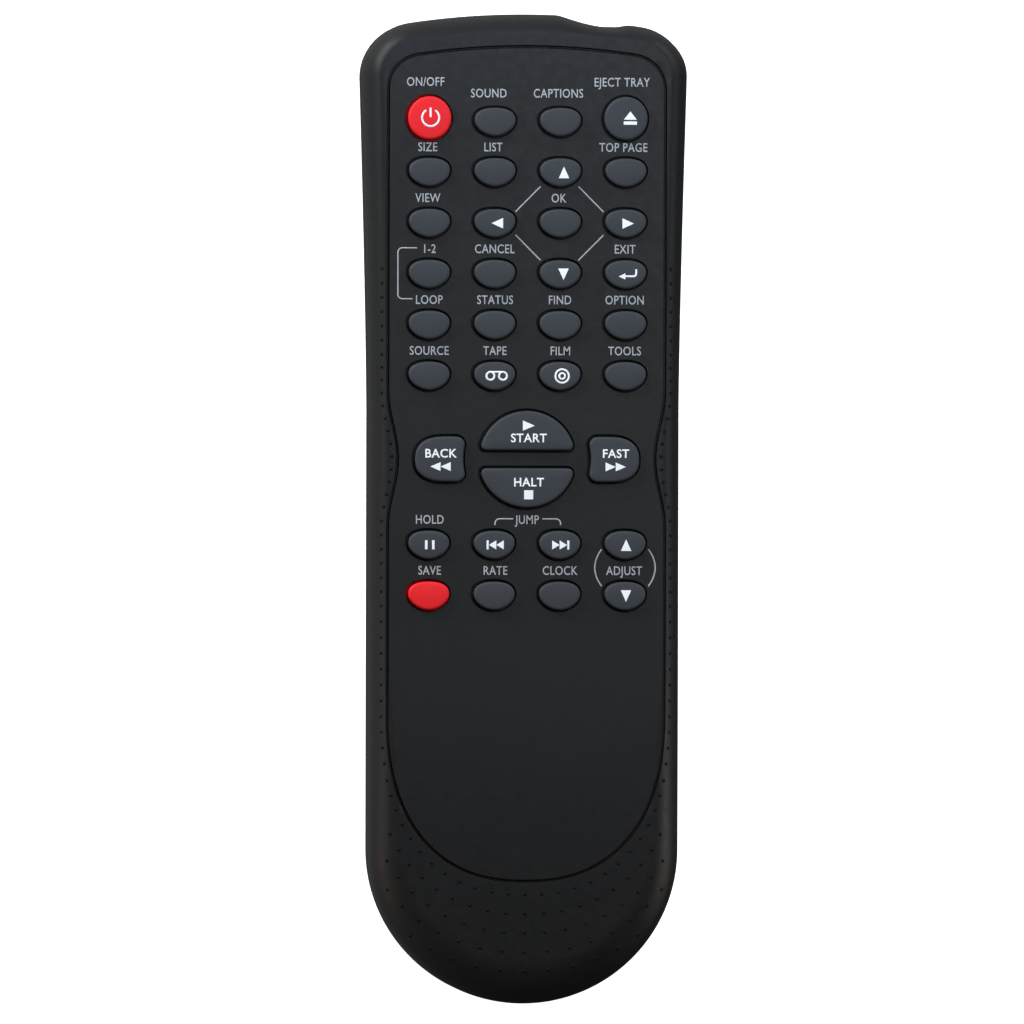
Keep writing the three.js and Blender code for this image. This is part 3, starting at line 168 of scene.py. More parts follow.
class ShaderTree(NodeTree):
    """A material's node tree."""

    def __init__(self, name: str) -> None:
        """Starts a material with a Principled shader.

        Args:
            name: The material's name.
        """
        self.material = bpy.data.materials.new(name)
        self.material.use_nodes = True
        super().__init__(self.material.node_tree)
        self.tree.nodes.clear()
        self.shader = self.node("ShaderNodeBsdfPrincipled", {})
        self.node("ShaderNodeOutputMaterial", {"Surface": self.shader})
        self.places = self.node("ShaderNodeTexCoord", {}).outputs["Object"]

    def noise(self, size: float, detail: float = 2.0) -> Socket:
        """Adds noise on the object's own coordinates.

        Args:
            size: Width of one spot of the noise, in metres.
            detail: How many finer layers it has.

        Returns:
            The noise's value, from 0 to 1.
        """
        values = {"Vector": self.places, "Scale": 1 / size, "Detail": detail}
        return self.node("ShaderNodeTexNoise", values).outputs["Fac"]

    def between(self, share: Socket, low: float, high: float) -> Socket:
        """Maps a value from the middle of the noise's reach to a range.

        Args:
            share: The value to map.
            low: What the low end becomes.
            high: What the high end becomes.

        Returns:
            The mapped value.
        """
        near, far = NOISE_REACH
        values = {"Value": share, "From Min": near, "From Max": far, "To Min": low, "To Max": high}
        return self.node("ShaderNodeMapRange", values).outputs["Result"]

    def blend(self, share: Socket, first: object, second: object) -> Socket:
        """Mixes two colours.

        Args:
            share: How much of the second colour there is.
            first: A colour, or a colour socket.
            second: A colour, or a colour socket.

        Returns:
            The mixed colour.
        """
        ends = [value if isinstance(value, Socket) else (*value, 1.0) for value in (first, second)]
        values = {"Factor": share, 6: ends[0], 7: ends[1]}
        return self.node("ShaderNodeMix", values, data_type="RGBA").outputs[2]

    def relief(self, height: Socket, depth: float) -> None:
        """Gives the surface a relief.

        Args:
            height: The relief's height, from 0 to 1.
            depth: How deep the relief is, in metres.
        """
        self.set("Normal", self.node("ShaderNodeBump", {"Height": height, "Distance": depth}))

    def set(self, name: str, value: object) -> None:
        """Sets or links one input of the Principled shader, by its name."""
        self.put(self.shader.inputs[name], value)


@dataclass(frozen=True)
class Finish:
    """A surface with a fine mould grain and a colour that wanders a little."""

    name: str
    colour: Colour
    roughness: float
    metallic: float = 0.0
    drift: float = 0.12
    grain: float = 0.25 * MM
    depth: float = 0.012 * MM
    cloud: float = 14 * MM
    gloss_swing: float = 0.05
    specular: float = 0.5
    coat: float = 0.0

    def colours(self, tree: ShaderTree) -> Socket:
        """Builds the colour of the surface.

        Args:
            tree: The material's tree.

        Returns:
            The colour socket.
        """
        darker = tuple(channel * (1 - self.drift) for channel in self.colour)
        lighter = tuple(min(channel * (1 + self.drift), 1.0) for channel in self.colour)
        return tree.blend(tree.noise(self.cloud), darker, lighter)

    def material(self) -> bpy.types.Material:
        """Builds the material, or finds it if it is there.

        Returns:
            The material.
        """
        found = bpy.data.materials.get(self.name)
        if found:
            return found
        tree = ShaderTree(self.name)
        tree.set("Base Color", self.colours(tree))
        tree.set("Metallic", self.metallic)
        tree.set("Specular IOR Level", self.specular)
        tree.set("Coat Weight", self.coat)
        low, high = self.roughness - self.gloss_swing, self.roughness + self.gloss_swing
        tree.set("Roughness", tree.between(tree.noise(self.grain * GRAINS_A_PATCH), low, high))
        tree.relief(tree.noise(self.grain, FINE_DETAIL), self.depth)
        return tree.material


@dataclass(frozen=True)
class BandedJacket(Finish):
    """The printed jacket of a cell, with a pale band near one end."""

    colour: Colour = (0.03, 0.036, 0.045)
    roughness: float = 0.3
    metallic: float = 0.3
    band: Colour = (0.42, 0.43, 0.44)
    band_low: float = 0.0
    band_high: float = 0.0

    def colours(self, tree: ShaderTree) -> Socket:
        """Builds the jacket's colour with its band.

        Args:
            tree: The material's tree.

        Returns:
            The colour socket.
        """
        plain = Finish.colours(self, tree)
        along = tree.node("ShaderNodeSeparateXYZ", {"Vector": tree.places}).outputs["Y"]
        middle = (self.band_low + self.band_high) / 2
        values = {0: along, 1: middle, 2: (self.band_high - self.band_low) / 2}
        inside = tree.node("ShaderNodeMath", values, operation="COMPARE")
        return tree.blend(inside.outputs[0], plain, self.band)


@dataclass(frozen=True)
class WovenLaminate(Finish):
    """Board laminate, with the weave of its cloth."""

    weave: float = 0.6 * MM

    def colours(self, tree: ShaderTree) -> Socket:
        """Builds the colour of the cloth in the resin.

        Args:
            tree: The material's tree.

        Returns:
            The colour socket.
        """
        plain = Finish.colours(self, tree)
        values = {"Vector": tree.places, "Scale": 1 / self.weave}
        checker = tree.node("ShaderNodeTexChecker", values).outputs["Fac"]
        darker = tuple(channel * (1 - 2 * self.drift) for channel in self.colour)
        return tree.blend(checker, plain, darker)


CASE_PLASTIC = Finish("case_plastic", (0.008, 0.008, 0.0083), 0.46, depth=0.016 * MM, specular=0.25)
# The pips take a darker, less glossy plastic than the case they belong to: painted shade for the dark
# ring and shadow round each small pip.
PIP_PLASTIC_PAINTED_SHADE = Finish("pip_plastic", (0.0035, 0.0035, 0.0036), 0.6, specular=0.12)
KEY_RUBBER = Finish(
    "key_rubber", (0.0391, 0.0435, 0.05), 0.6, grain=0.18 * MM, depth=0.006 * MM, specular=0.25
)
RED_RUBBER = Finish(
    "red_rubber",
    (0.81, 0.0112, 0.0172),
    0.55,
    drift=0.04,
    grain=0.18 * MM,
    depth=0.006 * MM,
    specular=0.25,
)
MAT_RUBBER = Finish("mat_rubber", (0.04, 0.045, 0.052), 0.75)
WHITE_INK = Finish("white_ink", (0.93, 0.94, 0.96), 0.5, drift=0.03, depth=0.003 * MM)
GREY_INK = Finish("grey_ink", (0.4, 0.425, 0.445), 0.5, drift=0.06, depth=0.003 * MM)
SMOKED_LENS = Finish(
    "smoked_lens", (0.006, 0.0012, 0.0018), 0.09, gloss_swing=0.02, depth=0.002 * MM, coat=0.4
)
BOARD_LAMINATE = WovenLaminate("board_laminate", (0.25, 0.15, 0.05), 0.6)
LED_RESIN = Finish("led_resin", (0.012, 0.014, 0.02), 0.12, gloss_swing=0.02, coat=0.3)
CHIP_EPOXY = Finish("chip_epoxy", (0.008, 0.008, 0.009), 0.5, grain=0.1 * MM)
CAPACITOR_SLEEVE = Finish("capacitor_sleeve", (0.012, 0.026, 0.1), 0.35)
RESONATOR_COAT = Finish("resonator_coat", (0.03, 0.16, 0.42), 0.35)
RESISTOR_COAT = Finish("resistor_coat", (0.5, 0.36, 0.2), 0.5)
PLATED_STEEL = Finish(
    "plated_steel", (0.62, 0.62, 0.6), 0.28, metallic=1.0, grain=0.5 * MM, depth=0.004 * MM
)
CELL_STEEL = Finish("cell_steel", (0.6, 0.6, 0.6), 0.32, metallic=1.0)


def placed(name: str, data: bpy.types.ID) -> Piece:
    """Makes an object and puts it in the scene.

    Args:
        name: The object's name.
        data: Its mesh, text, lamp or camera.

    Returns:
        The new object.
    """
    made = bpy.data.objects.new(name, data)
    bpy.context.scene.collection.objects.link(made)
    return made


class Form:
    """Makes and joins meshes. Every object that it makes stands at the origin."""

    @staticmethod
    def object(name: str, points: Sequence[Place], faces: Sequence[tuple[int, ...]]) -> Piece:
        """Makes a mesh object.

        Args:
            name: The object's name.
            points: Its corners.
            faces: Its faces, as corner numbers.

        Returns:
            The new object.
        """
        mesh = bpy.data.meshes.new(name)
        mesh.from_pydata(points, [], faces)
        mesh.update()
        return placed(name, mesh)

    @staticmethod
    def evaluated(made: Piece) -> bpy.types.Mesh:
        """Gives the mesh of an object with its modifiers applied.

        Args:
            made: The object.

        Returns:
            A new mesh.
        """
        graph = bpy.context.evaluated_depsgraph_get()
        return bpy.data.meshes.new_from_object(made.evaluated_get(graph))

    @staticmethod
    def settle(made: Piece) -> Piece:
        """Turns an object's modifiers into plain mesh.

        Args:
            made: The object.

        Returns:
            The same object.
        """
        mesh = Form.evaluated(made)
        made.modifiers.clear()
        made.data = mesh
        return made

    @staticmethod
    def change(made: Piece, how: Join, *tools: Piece) -> Piece:
        """Cuts, joins or limits a solid by others in turn, which are used up.

        Args:
            made: The solid that changes.
            how: What happens.
            tools: The other solids.

        Returns:
            The changed object.
        """
        for tool in tools:
            modifier = made.modifiers.new("change", "BOOLEAN")
            modifier.operation = how.value
            modifier.solver = "MANIFOLD"
            modifier.object = tool
            Form.settle(made)
            bpy.data.objects.remove(tool)
        return made

    @staticmethod
    def skin(name: str, rings: Sequence[Sequence[Place]], ends: Ends = Ends.FANS) -> Piece:
        """Skins rings with the same count of points, from the lowest to the highest.

        Args:
            name: The object's name.
            rings: The rings, counterclockwise seen from the top.
            ends: Fans round a middle, strips straight across, or the last ring joined to the first.

        Returns:
            The new object.
        """
        count = len(rings[0])
        points = [point for ring in rings for point in ring]
        faces = []
        for ring in range(len(rings) if ends is Ends.HOOP else len(rings) - 1):
            here, above = ring * count, (ring + 1) % len(rings) * count
            for i in range(count):
                j = (i + 1) % count
                faces.append((here + i, here + j, above + j, above + i))
        last = (len(rings) - 1) * count
        if ends is Ends.STRIPS:
            for i in range(count // 2):
                strip = list(dict.fromkeys((i, i + 1, count - i - 1, (count - i) % count)))
                faces.append(tuple(reversed(strip)))
                faces.append(tuple(last + corner for corner in strip))
        if ends is Ends.FANS:
            for start, ring in ((0, rings[0]), (last, rings[-1])):
                points.append(tuple(sum(axis) / count for axis in zip(*ring)))
                middle = len(points) - 1
                for i in range(count):
                    edge = (start + i, start + (i + 1) % count)
                    faces.append((middle, *edge) if start else (middle, *reversed(edge)))
        return Form.object(name, points, faces)

    @staticmethod
    def block(low: Sequence[float], high: Sequence[float], rounding: float = 0.0) -> Piece:
        """Makes a box, with rounded edges if asked.

        Args:
            low: Its lowest corner.
            high: Its highest corner.
            rounding: Radius of its edges.

        Returns:
            The new object.
        """
        x, y, z = zip(low, high)
        bottom = [(x[0], y[0], z[0]), (x[1], y[0], z[0]), (x[1], y[1], z[0]), (x[0], y[1], z[0])]
        top = [(a, b, z[1]) for a, b, _ in bottom]
        faces = [(3, 2, 1, 0), (4, 5, 6, 7)]
        faces += [(i, (i + 1) % 4, (i + 1) % 4 + 4, i + 4) for i in range(4)]
        made = Form.object("block", bottom + top, faces)
        if rounding:
            bevel = made.modifiers.new("rounding", "BEVEL")
            bevel.width = rounding
            bevel.segments = ROUNDING_STEPS
            Form.settle(made)
        return made

    @staticmethod
    def prism(loop: Line, low: float, high: float) -> Piece:
        """Makes an upright prism over a loop.

        Args:
            loop: The loop, counterclockwise.
            low: Its lower height.
            high: Its upper height.

        Returns:
            The new object.
        """
        return Form.skin("prism", [[(x, y, z) for x, y in loop] for z in (low, high)])

    @staticmethod
    def finer(made: Piece, cuts: int) -> Piece:
        """Splits every edge and face of a mesh, so that it can follow a curved surface.

        Args:
            made: The object.
            cuts: How many times each edge is cut.

        Returns:
            The same object.
        """
        mesh = bmesh.new()
        mesh.from_mesh(made.data)
        bmesh.ops.subdivide_edges(mesh, edges=mesh.edges[:], cuts=cuts, use_grid_fill=True)
        mesh.to_mesh(made.data)
        mesh.free()
        return made

    @staticmethod
    def lathe(name: str, profile: Line, sides: int, foot: Vector, facing: int) -> Piece:
        """Turns a profile round an axis along Y.

        Args:
            name: The object's name.
            profile: Radius and distance along the axis, from the foot to the tip.
            sides: How many sides the turned form has.
            foot: Where the axis starts.
            facing: 1 if the axis runs towards +Y, and -1 if it runs the other way.

        Returns:
            The new object.
        """
        rings = []
        for radius, along in profile:
            ring = []
            for i in range(sides):
                turn = 2 * pi * i / sides * -facing
                x, z = radius * cos(turn), radius * sin(turn)
                ring.append((foot.x + x, foot.y + facing * along, foot.z + z))
            rings.append(ring)
        return Form.skin(name, rings)

    @staticmethod
    def smooth(made: Piece, angle: float, weighted: bool = True) -> None:
        """Shades a mesh smooth up to an angle, with flat faces kept flat.

        Args:
            made: The object.
            angle: The angle in degrees past which an edge stays sharp.
            weighted: True if large faces hold the shading.
        """
        work = bmesh.new()
        work.from_mesh(made.data)
        bmesh.ops.remove_doubles(work, verts=work.verts, dist=MERGE_GAP)
        bmesh.ops.dissolve_degenerate(work, edges=work.edges, dist=MERGE_GAP)
        work.to_mesh(made.data)
        work.free()
        made.data.shade_smooth()
        made.data.set_sharp_from_angle(angle=radians(angle))
        if weighted:
            modifier = made.modifiers.new("flat faces", "WEIGHTED_NORMAL")
            modifier.keep_sharp = True
            Form.settle(made)

    @staticmethod
    def joined(name: str, parts: Sequence[Piece]) -> Piece:
        """Puts several meshes into one object and removes them.

        Args:
            name: The new object's name.
            parts: The objects to put together.

        Returns:
            The new object.
        """
        work = bmesh.new()
        for part in parts:
            work.from_mesh(part.data)
            bpy.data.objects.remove(part)
        mesh = bpy.data.meshes.new(name)
        work.to_mesh(mesh)
        work.free()
        return placed(name, mesh)


def dress(piece: Piece, finish: Finish) -> Piece:
    """Gives a piece its finish.

    Args:
        piece: The piece.
        finish: Its finish.

    Returns:
        The same piece.
    """
    material = finish.material()
    if "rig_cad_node" in piece and piece.material_slots:
        for slot in piece.material_slots:
            slot.material = material
        return piece
    piece.data.materials.clear()
    piece.data.materials.append(material)
    return piece


def seat(piece: Piece, body: str, slot: Slot, *nodes: str) -> Piece:
    """Lets a piece ride on a body and stand for the nodes that it replaces.

    Args:
        piece: The piece.
        body: The body that carries it.
        slot: The record's slot of its finish; not used.
        nodes: The nodes that it replaces.

    Returns:
        The same piece.
    """
    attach(piece, body)
    if nodes:
        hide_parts(*nodes)
    LOG.info("%s rides on %s, %d faces", piece.name, body, len(piece.data.polygons))
    return piece


class GeometryTool(NodeTree):
    """A Geometry Nodes tree with named inputs, which is run once on a mesh."""

    def __init__(self, name: str) -> None:
        """Starts the tree.

        Args:
            name: The tree's name.
        """
        super().__init__(bpy.data.node_groups.new(name, "GeometryNodeTree"))
        for way in ("INPUT", "OUTPUT"):
            self.tree.interface.new_socket("Geometry", in_out=way, socket_type="NodeSocketGeometry")
        self.enter = self.node("NodeGroupInput", {})
        self.names: dict[str, str] = {}

    def input(self, name: str, kind: str) -> Socket:
        """Adds a named input.

        Args:
            name: The input's name.
            kind: Blender's name of the socket type.

        Returns:
            The socket inside the tree.
        """
        made = self.tree.interface.new_socket(name, in_out="INPUT", socket_type=kind)
        self.names[name] = made.identifier
        return self.enter.outputs[name]

    def floats(self, *names: str) -> list[Socket]:
        """Adds several inputs that take plain numbers, and gives their sockets."""
        return [self.input(name, "NodeSocketFloat") for name in names]

    def close(self, geometry: bpy.types.Node) -> None:
        """Ends the tree in real geometry with a material, its last input.

        Args:
            geometry: The node whose first output the tree has made.
        """
        real = self.node("GeometryNodeRealizeInstances", {"Geometry": geometry})
        finish = self.input("Finish", "NodeSocketMaterial")
        dressed = self.node("GeometryNodeSetMaterial", {"Geometry": real, "Material": finish})
        self.node("NodeGroupOutput", {"Geometry": dressed})

    def run(self, made: Piece, values: dict[str, object]) -> Piece:
        """Runs the tree on an object and keeps the result as plain mesh.

        Args:
            made: The object.
            values: The inputs by name.

        Returns:
            The same object.
        """
        modifier = made.modifiers.new(self.tree.name, "NODES")
        modifier.node_group = self.tree
        for name, value in values.items():
            modifier[self.names[name]] = value
        return Form.settle(made)


class PipTool(GeometryTool):
    """Sets low round pips on a shell, below the points of a mesh."""

    SIDES = 12
    RINGS = 6

    def __init__(self) -> None:
        """Builds the tree: points fall on the shell and each gets a flattened ball."""
        super().__init__("grip_pips")
        shell = self.input("Shell", "NodeSocketObject")
        radius, height = self.floats("Radius", "Height")
        target = self.node("GeometryNodeObjectInfo", {"Object": shell}).outputs["Geometry"]
        values = {"Target Geometry": target, "Ray Direction": (0.0, 0.0, -1.0), "Ray Length": 1.0}
        fall = self.node("GeometryNodeRaycast", values)
        values = {"Geometry": self.enter, "Name": "facing", "Value": fall.outputs["Hit Normal"]}
        stored = self.node("GeometryNodeStoreNamedAttribute", values, data_type="FLOAT_VECTOR")
        values = {"Geometry": stored, "Position": fall.outputs["Hit Position"]}
        fallen = self.node("GeometryNodeSetPosition", values)
        values = {"Name": "facing"}
        facing = self.node("GeometryNodeInputNamedAttribute", values, data_type="FLOAT_VECTOR")
        turned = self.node("FunctionNodeAlignRotationToVector", {"Vector": facing}, axis="Z")
        values = {"Segments": self.SIDES, "Rings": self.RINGS, "Radius": 1.0}
        ball = self.node("GeometryNodeMeshUVSphere", values)
        soft = self.node("GeometryNodeSetShadeSmooth", {"Geometry": ball})
        scale = self.node("ShaderNodeCombineXYZ", {"X": radius, "Y": radius, "Z": height})
        values = {"Points": fallen, "Instance": soft, "Rotation": turned, "Scale": scale}
        self.close(self.node("GeometryNodeInstanceOnPoints", values))


class LineTool(GeometryTool):
    """Turns the edges of a mesh into flat printed lines."""

    CORNER_POINTS = 6

    def __init__(self) -> None:
        """Builds the tree: a flat band follows the edges, with its corners rounded."""
        super().__init__("printed_lines")
        width, thickness, corner = self.floats("Width", "Thickness", "Corner")
        line = self.node("GeometryNodeMeshToCurve", {"Mesh": self.enter})
        values = {"Curve": line, "Radius": corner, "Count": self.CORNER_POINTS, "Limit Radius": True}
        rounded = self.node("GeometryNodeFilletCurve", values, mode="POLY")
        upright = self.node("GeometryNodeSetCurveNormal", {"Curve": rounded}, mode="Z_UP")
        values = {"Width": width, "Height": thickness}
        band = self.node("GeometryNodeCurvePrimitiveQuadrilateral", values)
        values = {"Curve": upright, "Profile Curve": band, "Fill Caps": True}
        self.close(self.node("GeometryNodeCurveToMesh", values))


class SpringTool(GeometryTool):
    """Winds a cone spring whose axis runs along +Y."""

    CURL_STEPS = 32
    WIRE_SIDES = 12

    def __init__(self) -> None:
        """Builds the tree: a wire follows a spiral that narrows to its tip."""
        super().__init__("contact_spring")
        foot, tip, climb = self.floats("Foot radius", "Tip radius", "Climb")
        curls, wire = self.floats("Curls", "Wire radius")
        values = {"Resolution": self.CURL_STEPS, "Rotations": curls, "Height": climb}
        values |= {"Start Radius": foot, "End Radius": tip}
        spiral = self.node("GeometryNodeCurveSpiral", values)
        values = {"Resolution": self.WIRE_SIDES, "Radius": wire}
        section = self.node("GeometryNodeCurvePrimitiveCircle", values)
        values = {"Curve": spiral, "Profile Curve": section, "Fill Caps": True}
        wound = self.node("GeometryNodeCurveToMesh", values)
        values = {"Geometry": wound, "Rotation": (-QUARTER, 0.0, 0.0)}
        laid = self.node("GeometryNodeTransform", values)
        self.close(self.node("GeometryNodeSetShadeSmooth", {"Geometry": laid}))


class RibTool(GeometryTool):
    """Repeats one mesh in even steps along Y."""

    def __init__(self) -> None:
        """Builds the tree: copies of the mesh stand on a line of points."""
        super().__init__("grip_grooves")
        count = self.input("Count", "NodeSocketInt")
        pitch = self.input("Pitch", "NodeSocketVector")
        line = self.node("GeometryNodeMeshLine", {"Count": count, "Offset": pitch})
        values = {"Points": line, "Instance": self.enter}
        self.close(self.node("GeometryNodeInstanceOnPoints", values))


def circle(x: float, y: float, radius: float, sides: int) -> Line:
    """Makes a round loop.

    Args:
        x: Its middle.
        y: Its middle.
        radius: Its radius.
        sides: How many points it has.

    Returns:
        The loop, counterclockwise.
    """
    turns = [2 * pi * i / sides for i in range(sides)]
    return [(x + radius * cos(t), y + radius * sin(t)) for t in turns]


def arc(x: float, y: float, radius: float, start: float, end: float, steps: int) -> Line:
    """Makes the points of an arc.

    Args:
        x: Its middle.
        y: Its middle.
        radius: Its radius.
        start: Its first angle.
        end: Its last angle.
        steps: How many steps it has.

    Returns:
        The points, both ends included.
    """
    turns = [start + (end - start) * i / steps for i in range(steps + 1)]
    return [(x + radius * cos(t), y + radius * sin(t)) for t in turns]


def offset(loop: Line, distance: float) -> Line:
    """Moves a loop outwards, with mitred corners.

    Args:
        loop: The loop, counterclockwise.
        distance: How far it moves.

    Returns:
        The moved loop.
    """
    moved = []
    for i, (x, y) in enumerate(loop):
        before = Vector(loop[i - 1])
        here = Vector((x, y))
        after = Vector(loop[(i + 1) % len(loop)])
        into = (here - before).normalized()
        out = (after - here).normalized()
        mitre = (Vector((into.y, -into.x)) + Vector((out.y, -out.x))).normalized()
        stretch = max(mitre.dot(Vector((out.y, -out.x))), sqrt(0.5))
        moved.append(tuple(here + mitre * (distance / stretch)))
    return moved


def refined(loop: Line, step: float) -> Line:
    """Divides the long sides of a loop.

    Args:
        loop: The loop.
        step: The longest side that may stay.

    Returns:
        The divided loop.
    """
    points = []
    for i, start in enumerate(loop):
        end = loop[(i + 1) % len(loop)]
        parts = max(1, ceil(dist(start, end) / step))
        for part in range(parts):
            share = part / parts
            points.append(tuple(a + (b - a) * share for a, b in zip(start, end)))
    return points


@dataclass(frozen=True)
class CaseShape:
    """Outline and face of the two shells, and the groove round the panel."""

    low: Vector
    high: Vector
    disc_y: float
    front_flare: float = 1.4 * MM
    flare_length: float = 60.6 * MM
    flare_power: float = 1.35
    front_arc: float = 138 * MM
    corner: float = 9.8 * MM
    tail_length: float = 28 * MM
    shoulder_width: float = 3.6 * MM
    shoulder_height: float = 6.5 * MM
    tail_shoulder_width: float = 7.6 * MM
    widening_length: float = 62 * MM
    tail_droop: float = 3 * MM
    tail_droop_length: float = 55 * MM
    front_droop: float = 0.6 * MM
    front_droop_length: float = 26 * MM
    scallop_start: float = 6 * MM
    scallop_deepest: float = 14.4 * MM
    scallop_end: float = 18.8 * MM
    scallop_depth: float = 1.5 * MM
    corner_setback: float = 0.6 * MM
    setback_fade: float = 5 * MM
    groove_to_side: float = 2.95 * MM
    groove_front_rim: float = 6.05 * MM
    groove_corner: float = 6.3 * MM
    groove_tail_rim: float = 22.4 * MM
    groove_tail_length: float = 30.6 * MM
    groove_tail_power: float = 2.35
    groove_side: float = 2 * MM
    waist_depth: float = 1.8 * MM
    waist_half_length: float = 12.5 * MM
    arc_steps: int = 30
    corner_steps: int = 18
    side_steps: int = 24
    tail_steps: int = 48

    @property
    def part_z(self) -> float:
        """Height where the two shells meet."""
        return self.low.z

    @property
    def panel_z(self) -> float:
        """Height of the key panel."""
        return self.high.z

    @property
    def body_half(self) -> float:
        """Half of the width behind the flared front."""
        return self.high.x - self.front_flare

    @property
    def panel_half(self) -> float:
        """Half of the width inside the groove."""
        return self.body_half - self.groove_to_side

    def stations(self) -> list[tuple[float, float, float]]:
        """Lists one side of the outline, from the front middle to the tail tip.

        Returns:
            Each place with the angle that faces out of the case there.
        """
        centre = self.high.y - self.front_arc
        corner_x = self.high.x - self.corner
        corner_y = centre + sqrt((self.front_arc - self.corner) ** 2 - corner_x**2)
        arc_end = atan2(corner_y - centre, corner_x)
        points = []
        for i in range(self.arc_steps):
            turn = QUARTER + (arc_end - QUARTER) * i / self.arc_steps
            place = (self.front_arc * cos(turn), centre + self.front_arc * sin(turn))
            points.append((*place, turn))
        for i in range(self.corner_steps + 1):
            turn = arc_end * (1 - i / self.corner_steps)
            place = (corner_x + self.corner * cos(turn), corner_y + self.corner * sin(turn))
            points.append((*place, turn))
        for i in range(1, self.side_steps + 1):
            left = 1 - i / self.side_steps
            x = self.body_half + self.front_flare * left**self.flare_power
            slope = self.front_flare * self.flare_power * left ** (self.flare_power - 1)
            turn = -atan(slope / self.flare_length)
            points.append((x, corner_y - self.flare_length * (1 - left), turn))
        side_end = corner_y - self.flare_length
        tail_centre = self.low.y + self.tail_length
        for i in range(1, self.side_steps):
            y = side_end + (tail_centre - side_end) * i / self.side_steps
            points.append((self.body_half, y, 0.0))
        for i in range(self.tail_steps + 1):
            sweep = QUARTER * i / self.tail_steps
            turn = -atan2(sin(sweep) * self.body_half, cos(sweep) * self.tail_length)
            y = tail_centre - self.tail_length * sin(sweep)
            points.append((self.body_half * cos(sweep), y, turn))
        return points

    def scallop(self, x: float, y: float) -> float:
        """Says how far the front edge stands back on the side with the window.

        Args:
            x: Place across.
            y: Place along.

        Returns:
            The distance.
        """
        if x <= self.scallop_start:
            return 0.0
        if x < self.scallop_deepest:
            share = (x - self.scallop_start) / (self.scallop_deepest - self.scallop_start)
            return self.scallop_depth * sin(QUARTER * share) if y > 0 else 0.0
        share = min((x - self.scallop_deepest) / (self.scallop_end - self.scallop_deepest), 1.0)
        dip = (self.scallop_depth - self.corner_setback) * cos(QUARTER * share)
        fade = (y - (self.high.y - self.corner)) / self.setback_fade
        return (self.corner_setback + dip) * min(max(fade, 0.0), 1.0)

    def widening(self, y: float) -> float:
        """Says how much wider the shoulder is at a place along the case than at the front."""
        near = min(max((self.low.y + self.widening_length - y) / self.widening_length, 0.0), 1.0)
        return 1 + (self.tail_shoulder_width / self.shoulder_width - 1) * near

    def loop(self, inset: float, share: float = 1.0, widens: bool = False) -> Line:
        """Gives the outline moved inwards, counterclockwise from the front middle.

        Args:
            inset: How far it is moved.
            share: How much of the scallop there is.
            widens: True if it moves further towards the tail, as the shoulder does.

        Returns:
            The loop.
        """
        stations = self.stations()

        def place(station: tuple[float, float, float], side: int) -> Flat:
            """Moves one station inwards on its side of the case."""
            x, y, turn = station
            depth = inset * self.widening(y) if widens else inset
            across = side * max(x - depth * cos(turn), 0.0)
            along = y - depth * sin(turn)
            return (across, along - share * self.scallop(across, y))

        left = [place(station, -1) for station in stations[1:-1]]
        right = [place(station, 1) for station in reversed(stations[1:-1])]
        return [place(stations[0], 1), *left, place(stations[-1], 1), *right]

    def droop(self, y: float) -> float:
        """Says how far the face has sunk at a place along the case."""
        tail = max((self.low.y + self.tail_droop_length - y) / self.tail_droop_length, 0.0)
        front = max((y - self.high.y + self.front_droop_length) / self.front_droop_length, 0.0)
        return self.tail_droop * tail**2 + self.front_droop * front**2

    def level(self, inset: float, z: float, share: float = 1.0) -> list[Place]:
        """Gives a level ring of the outline, moved inwards."""
        return [(x, y, z) for x, y in self.loop(inset, share)]

    def face_ring(self, inset: float, z: float) -> list[Place]:
        """Gives a ring whose height follows the sinking face.

        Args:
            inset: How far the ring is moved inwards.
            z: Its height where the face hasn't sunk.

        Returns:
            The ring.
        """
        share = (z - self.part_z) / (self.panel_z - self.part_z)
        flat = self.loop(inset, 1 - inset / self.shoulder_width, widens=True)
        return [(x, y, z - self.droop(y) * share) for x, y in flat]

    def groove(self) -> Line:
        """Gives the middle line of the groove round the panel.

        Returns:
            The loop, counterclockwise from the front middle.
        """
        centre = self.high.y - self.front_arc
        radius = self.front_arc - self.groove_front_rim
        corner_x = self.panel_half - self.groove_corner
        corner_y = centre + sqrt((radius - self.groove_corner) ** 2 - corner_x**2)
        arc_end = atan2(corner_y - centre, corner_x)
        side = arc(0.0, centre, radius, QUARTER, arc_end, self.side_steps)[:-1]
        side += arc(corner_x, corner_y, self.groove_corner, arc_end, 0.0, self.corner_steps)
        for i in range(2 * self.side_steps + 1):
            along = i / self.side_steps - 1
            dip = self.waist_depth * cos(QUARTER * along) ** 2
            side.append((self.panel_half - dip, self.disc_y - along * self.waist_half_length))
        tail_centre = self.low.y + self.groove_tail_rim + self.groove_tail_length
        power = 2 / self.groove_tail_power
        for i in range(self.tail_steps + 1):
            sweep = QUARTER * i / self.tail_steps
            x = self.panel_half * max(cos(sweep), 0.0) ** power
            side.append((x, tail_centre - self.groove_tail_length * sin(sweep) ** power))
        side[-1] = (0.0, side[-1][1])
        left = [(-x, y) for x, y in side[1:-1]]
        right = list(reversed(side[1:-1]))
        return refined([side[0], *left, side[-1], *right], self.groove_side)


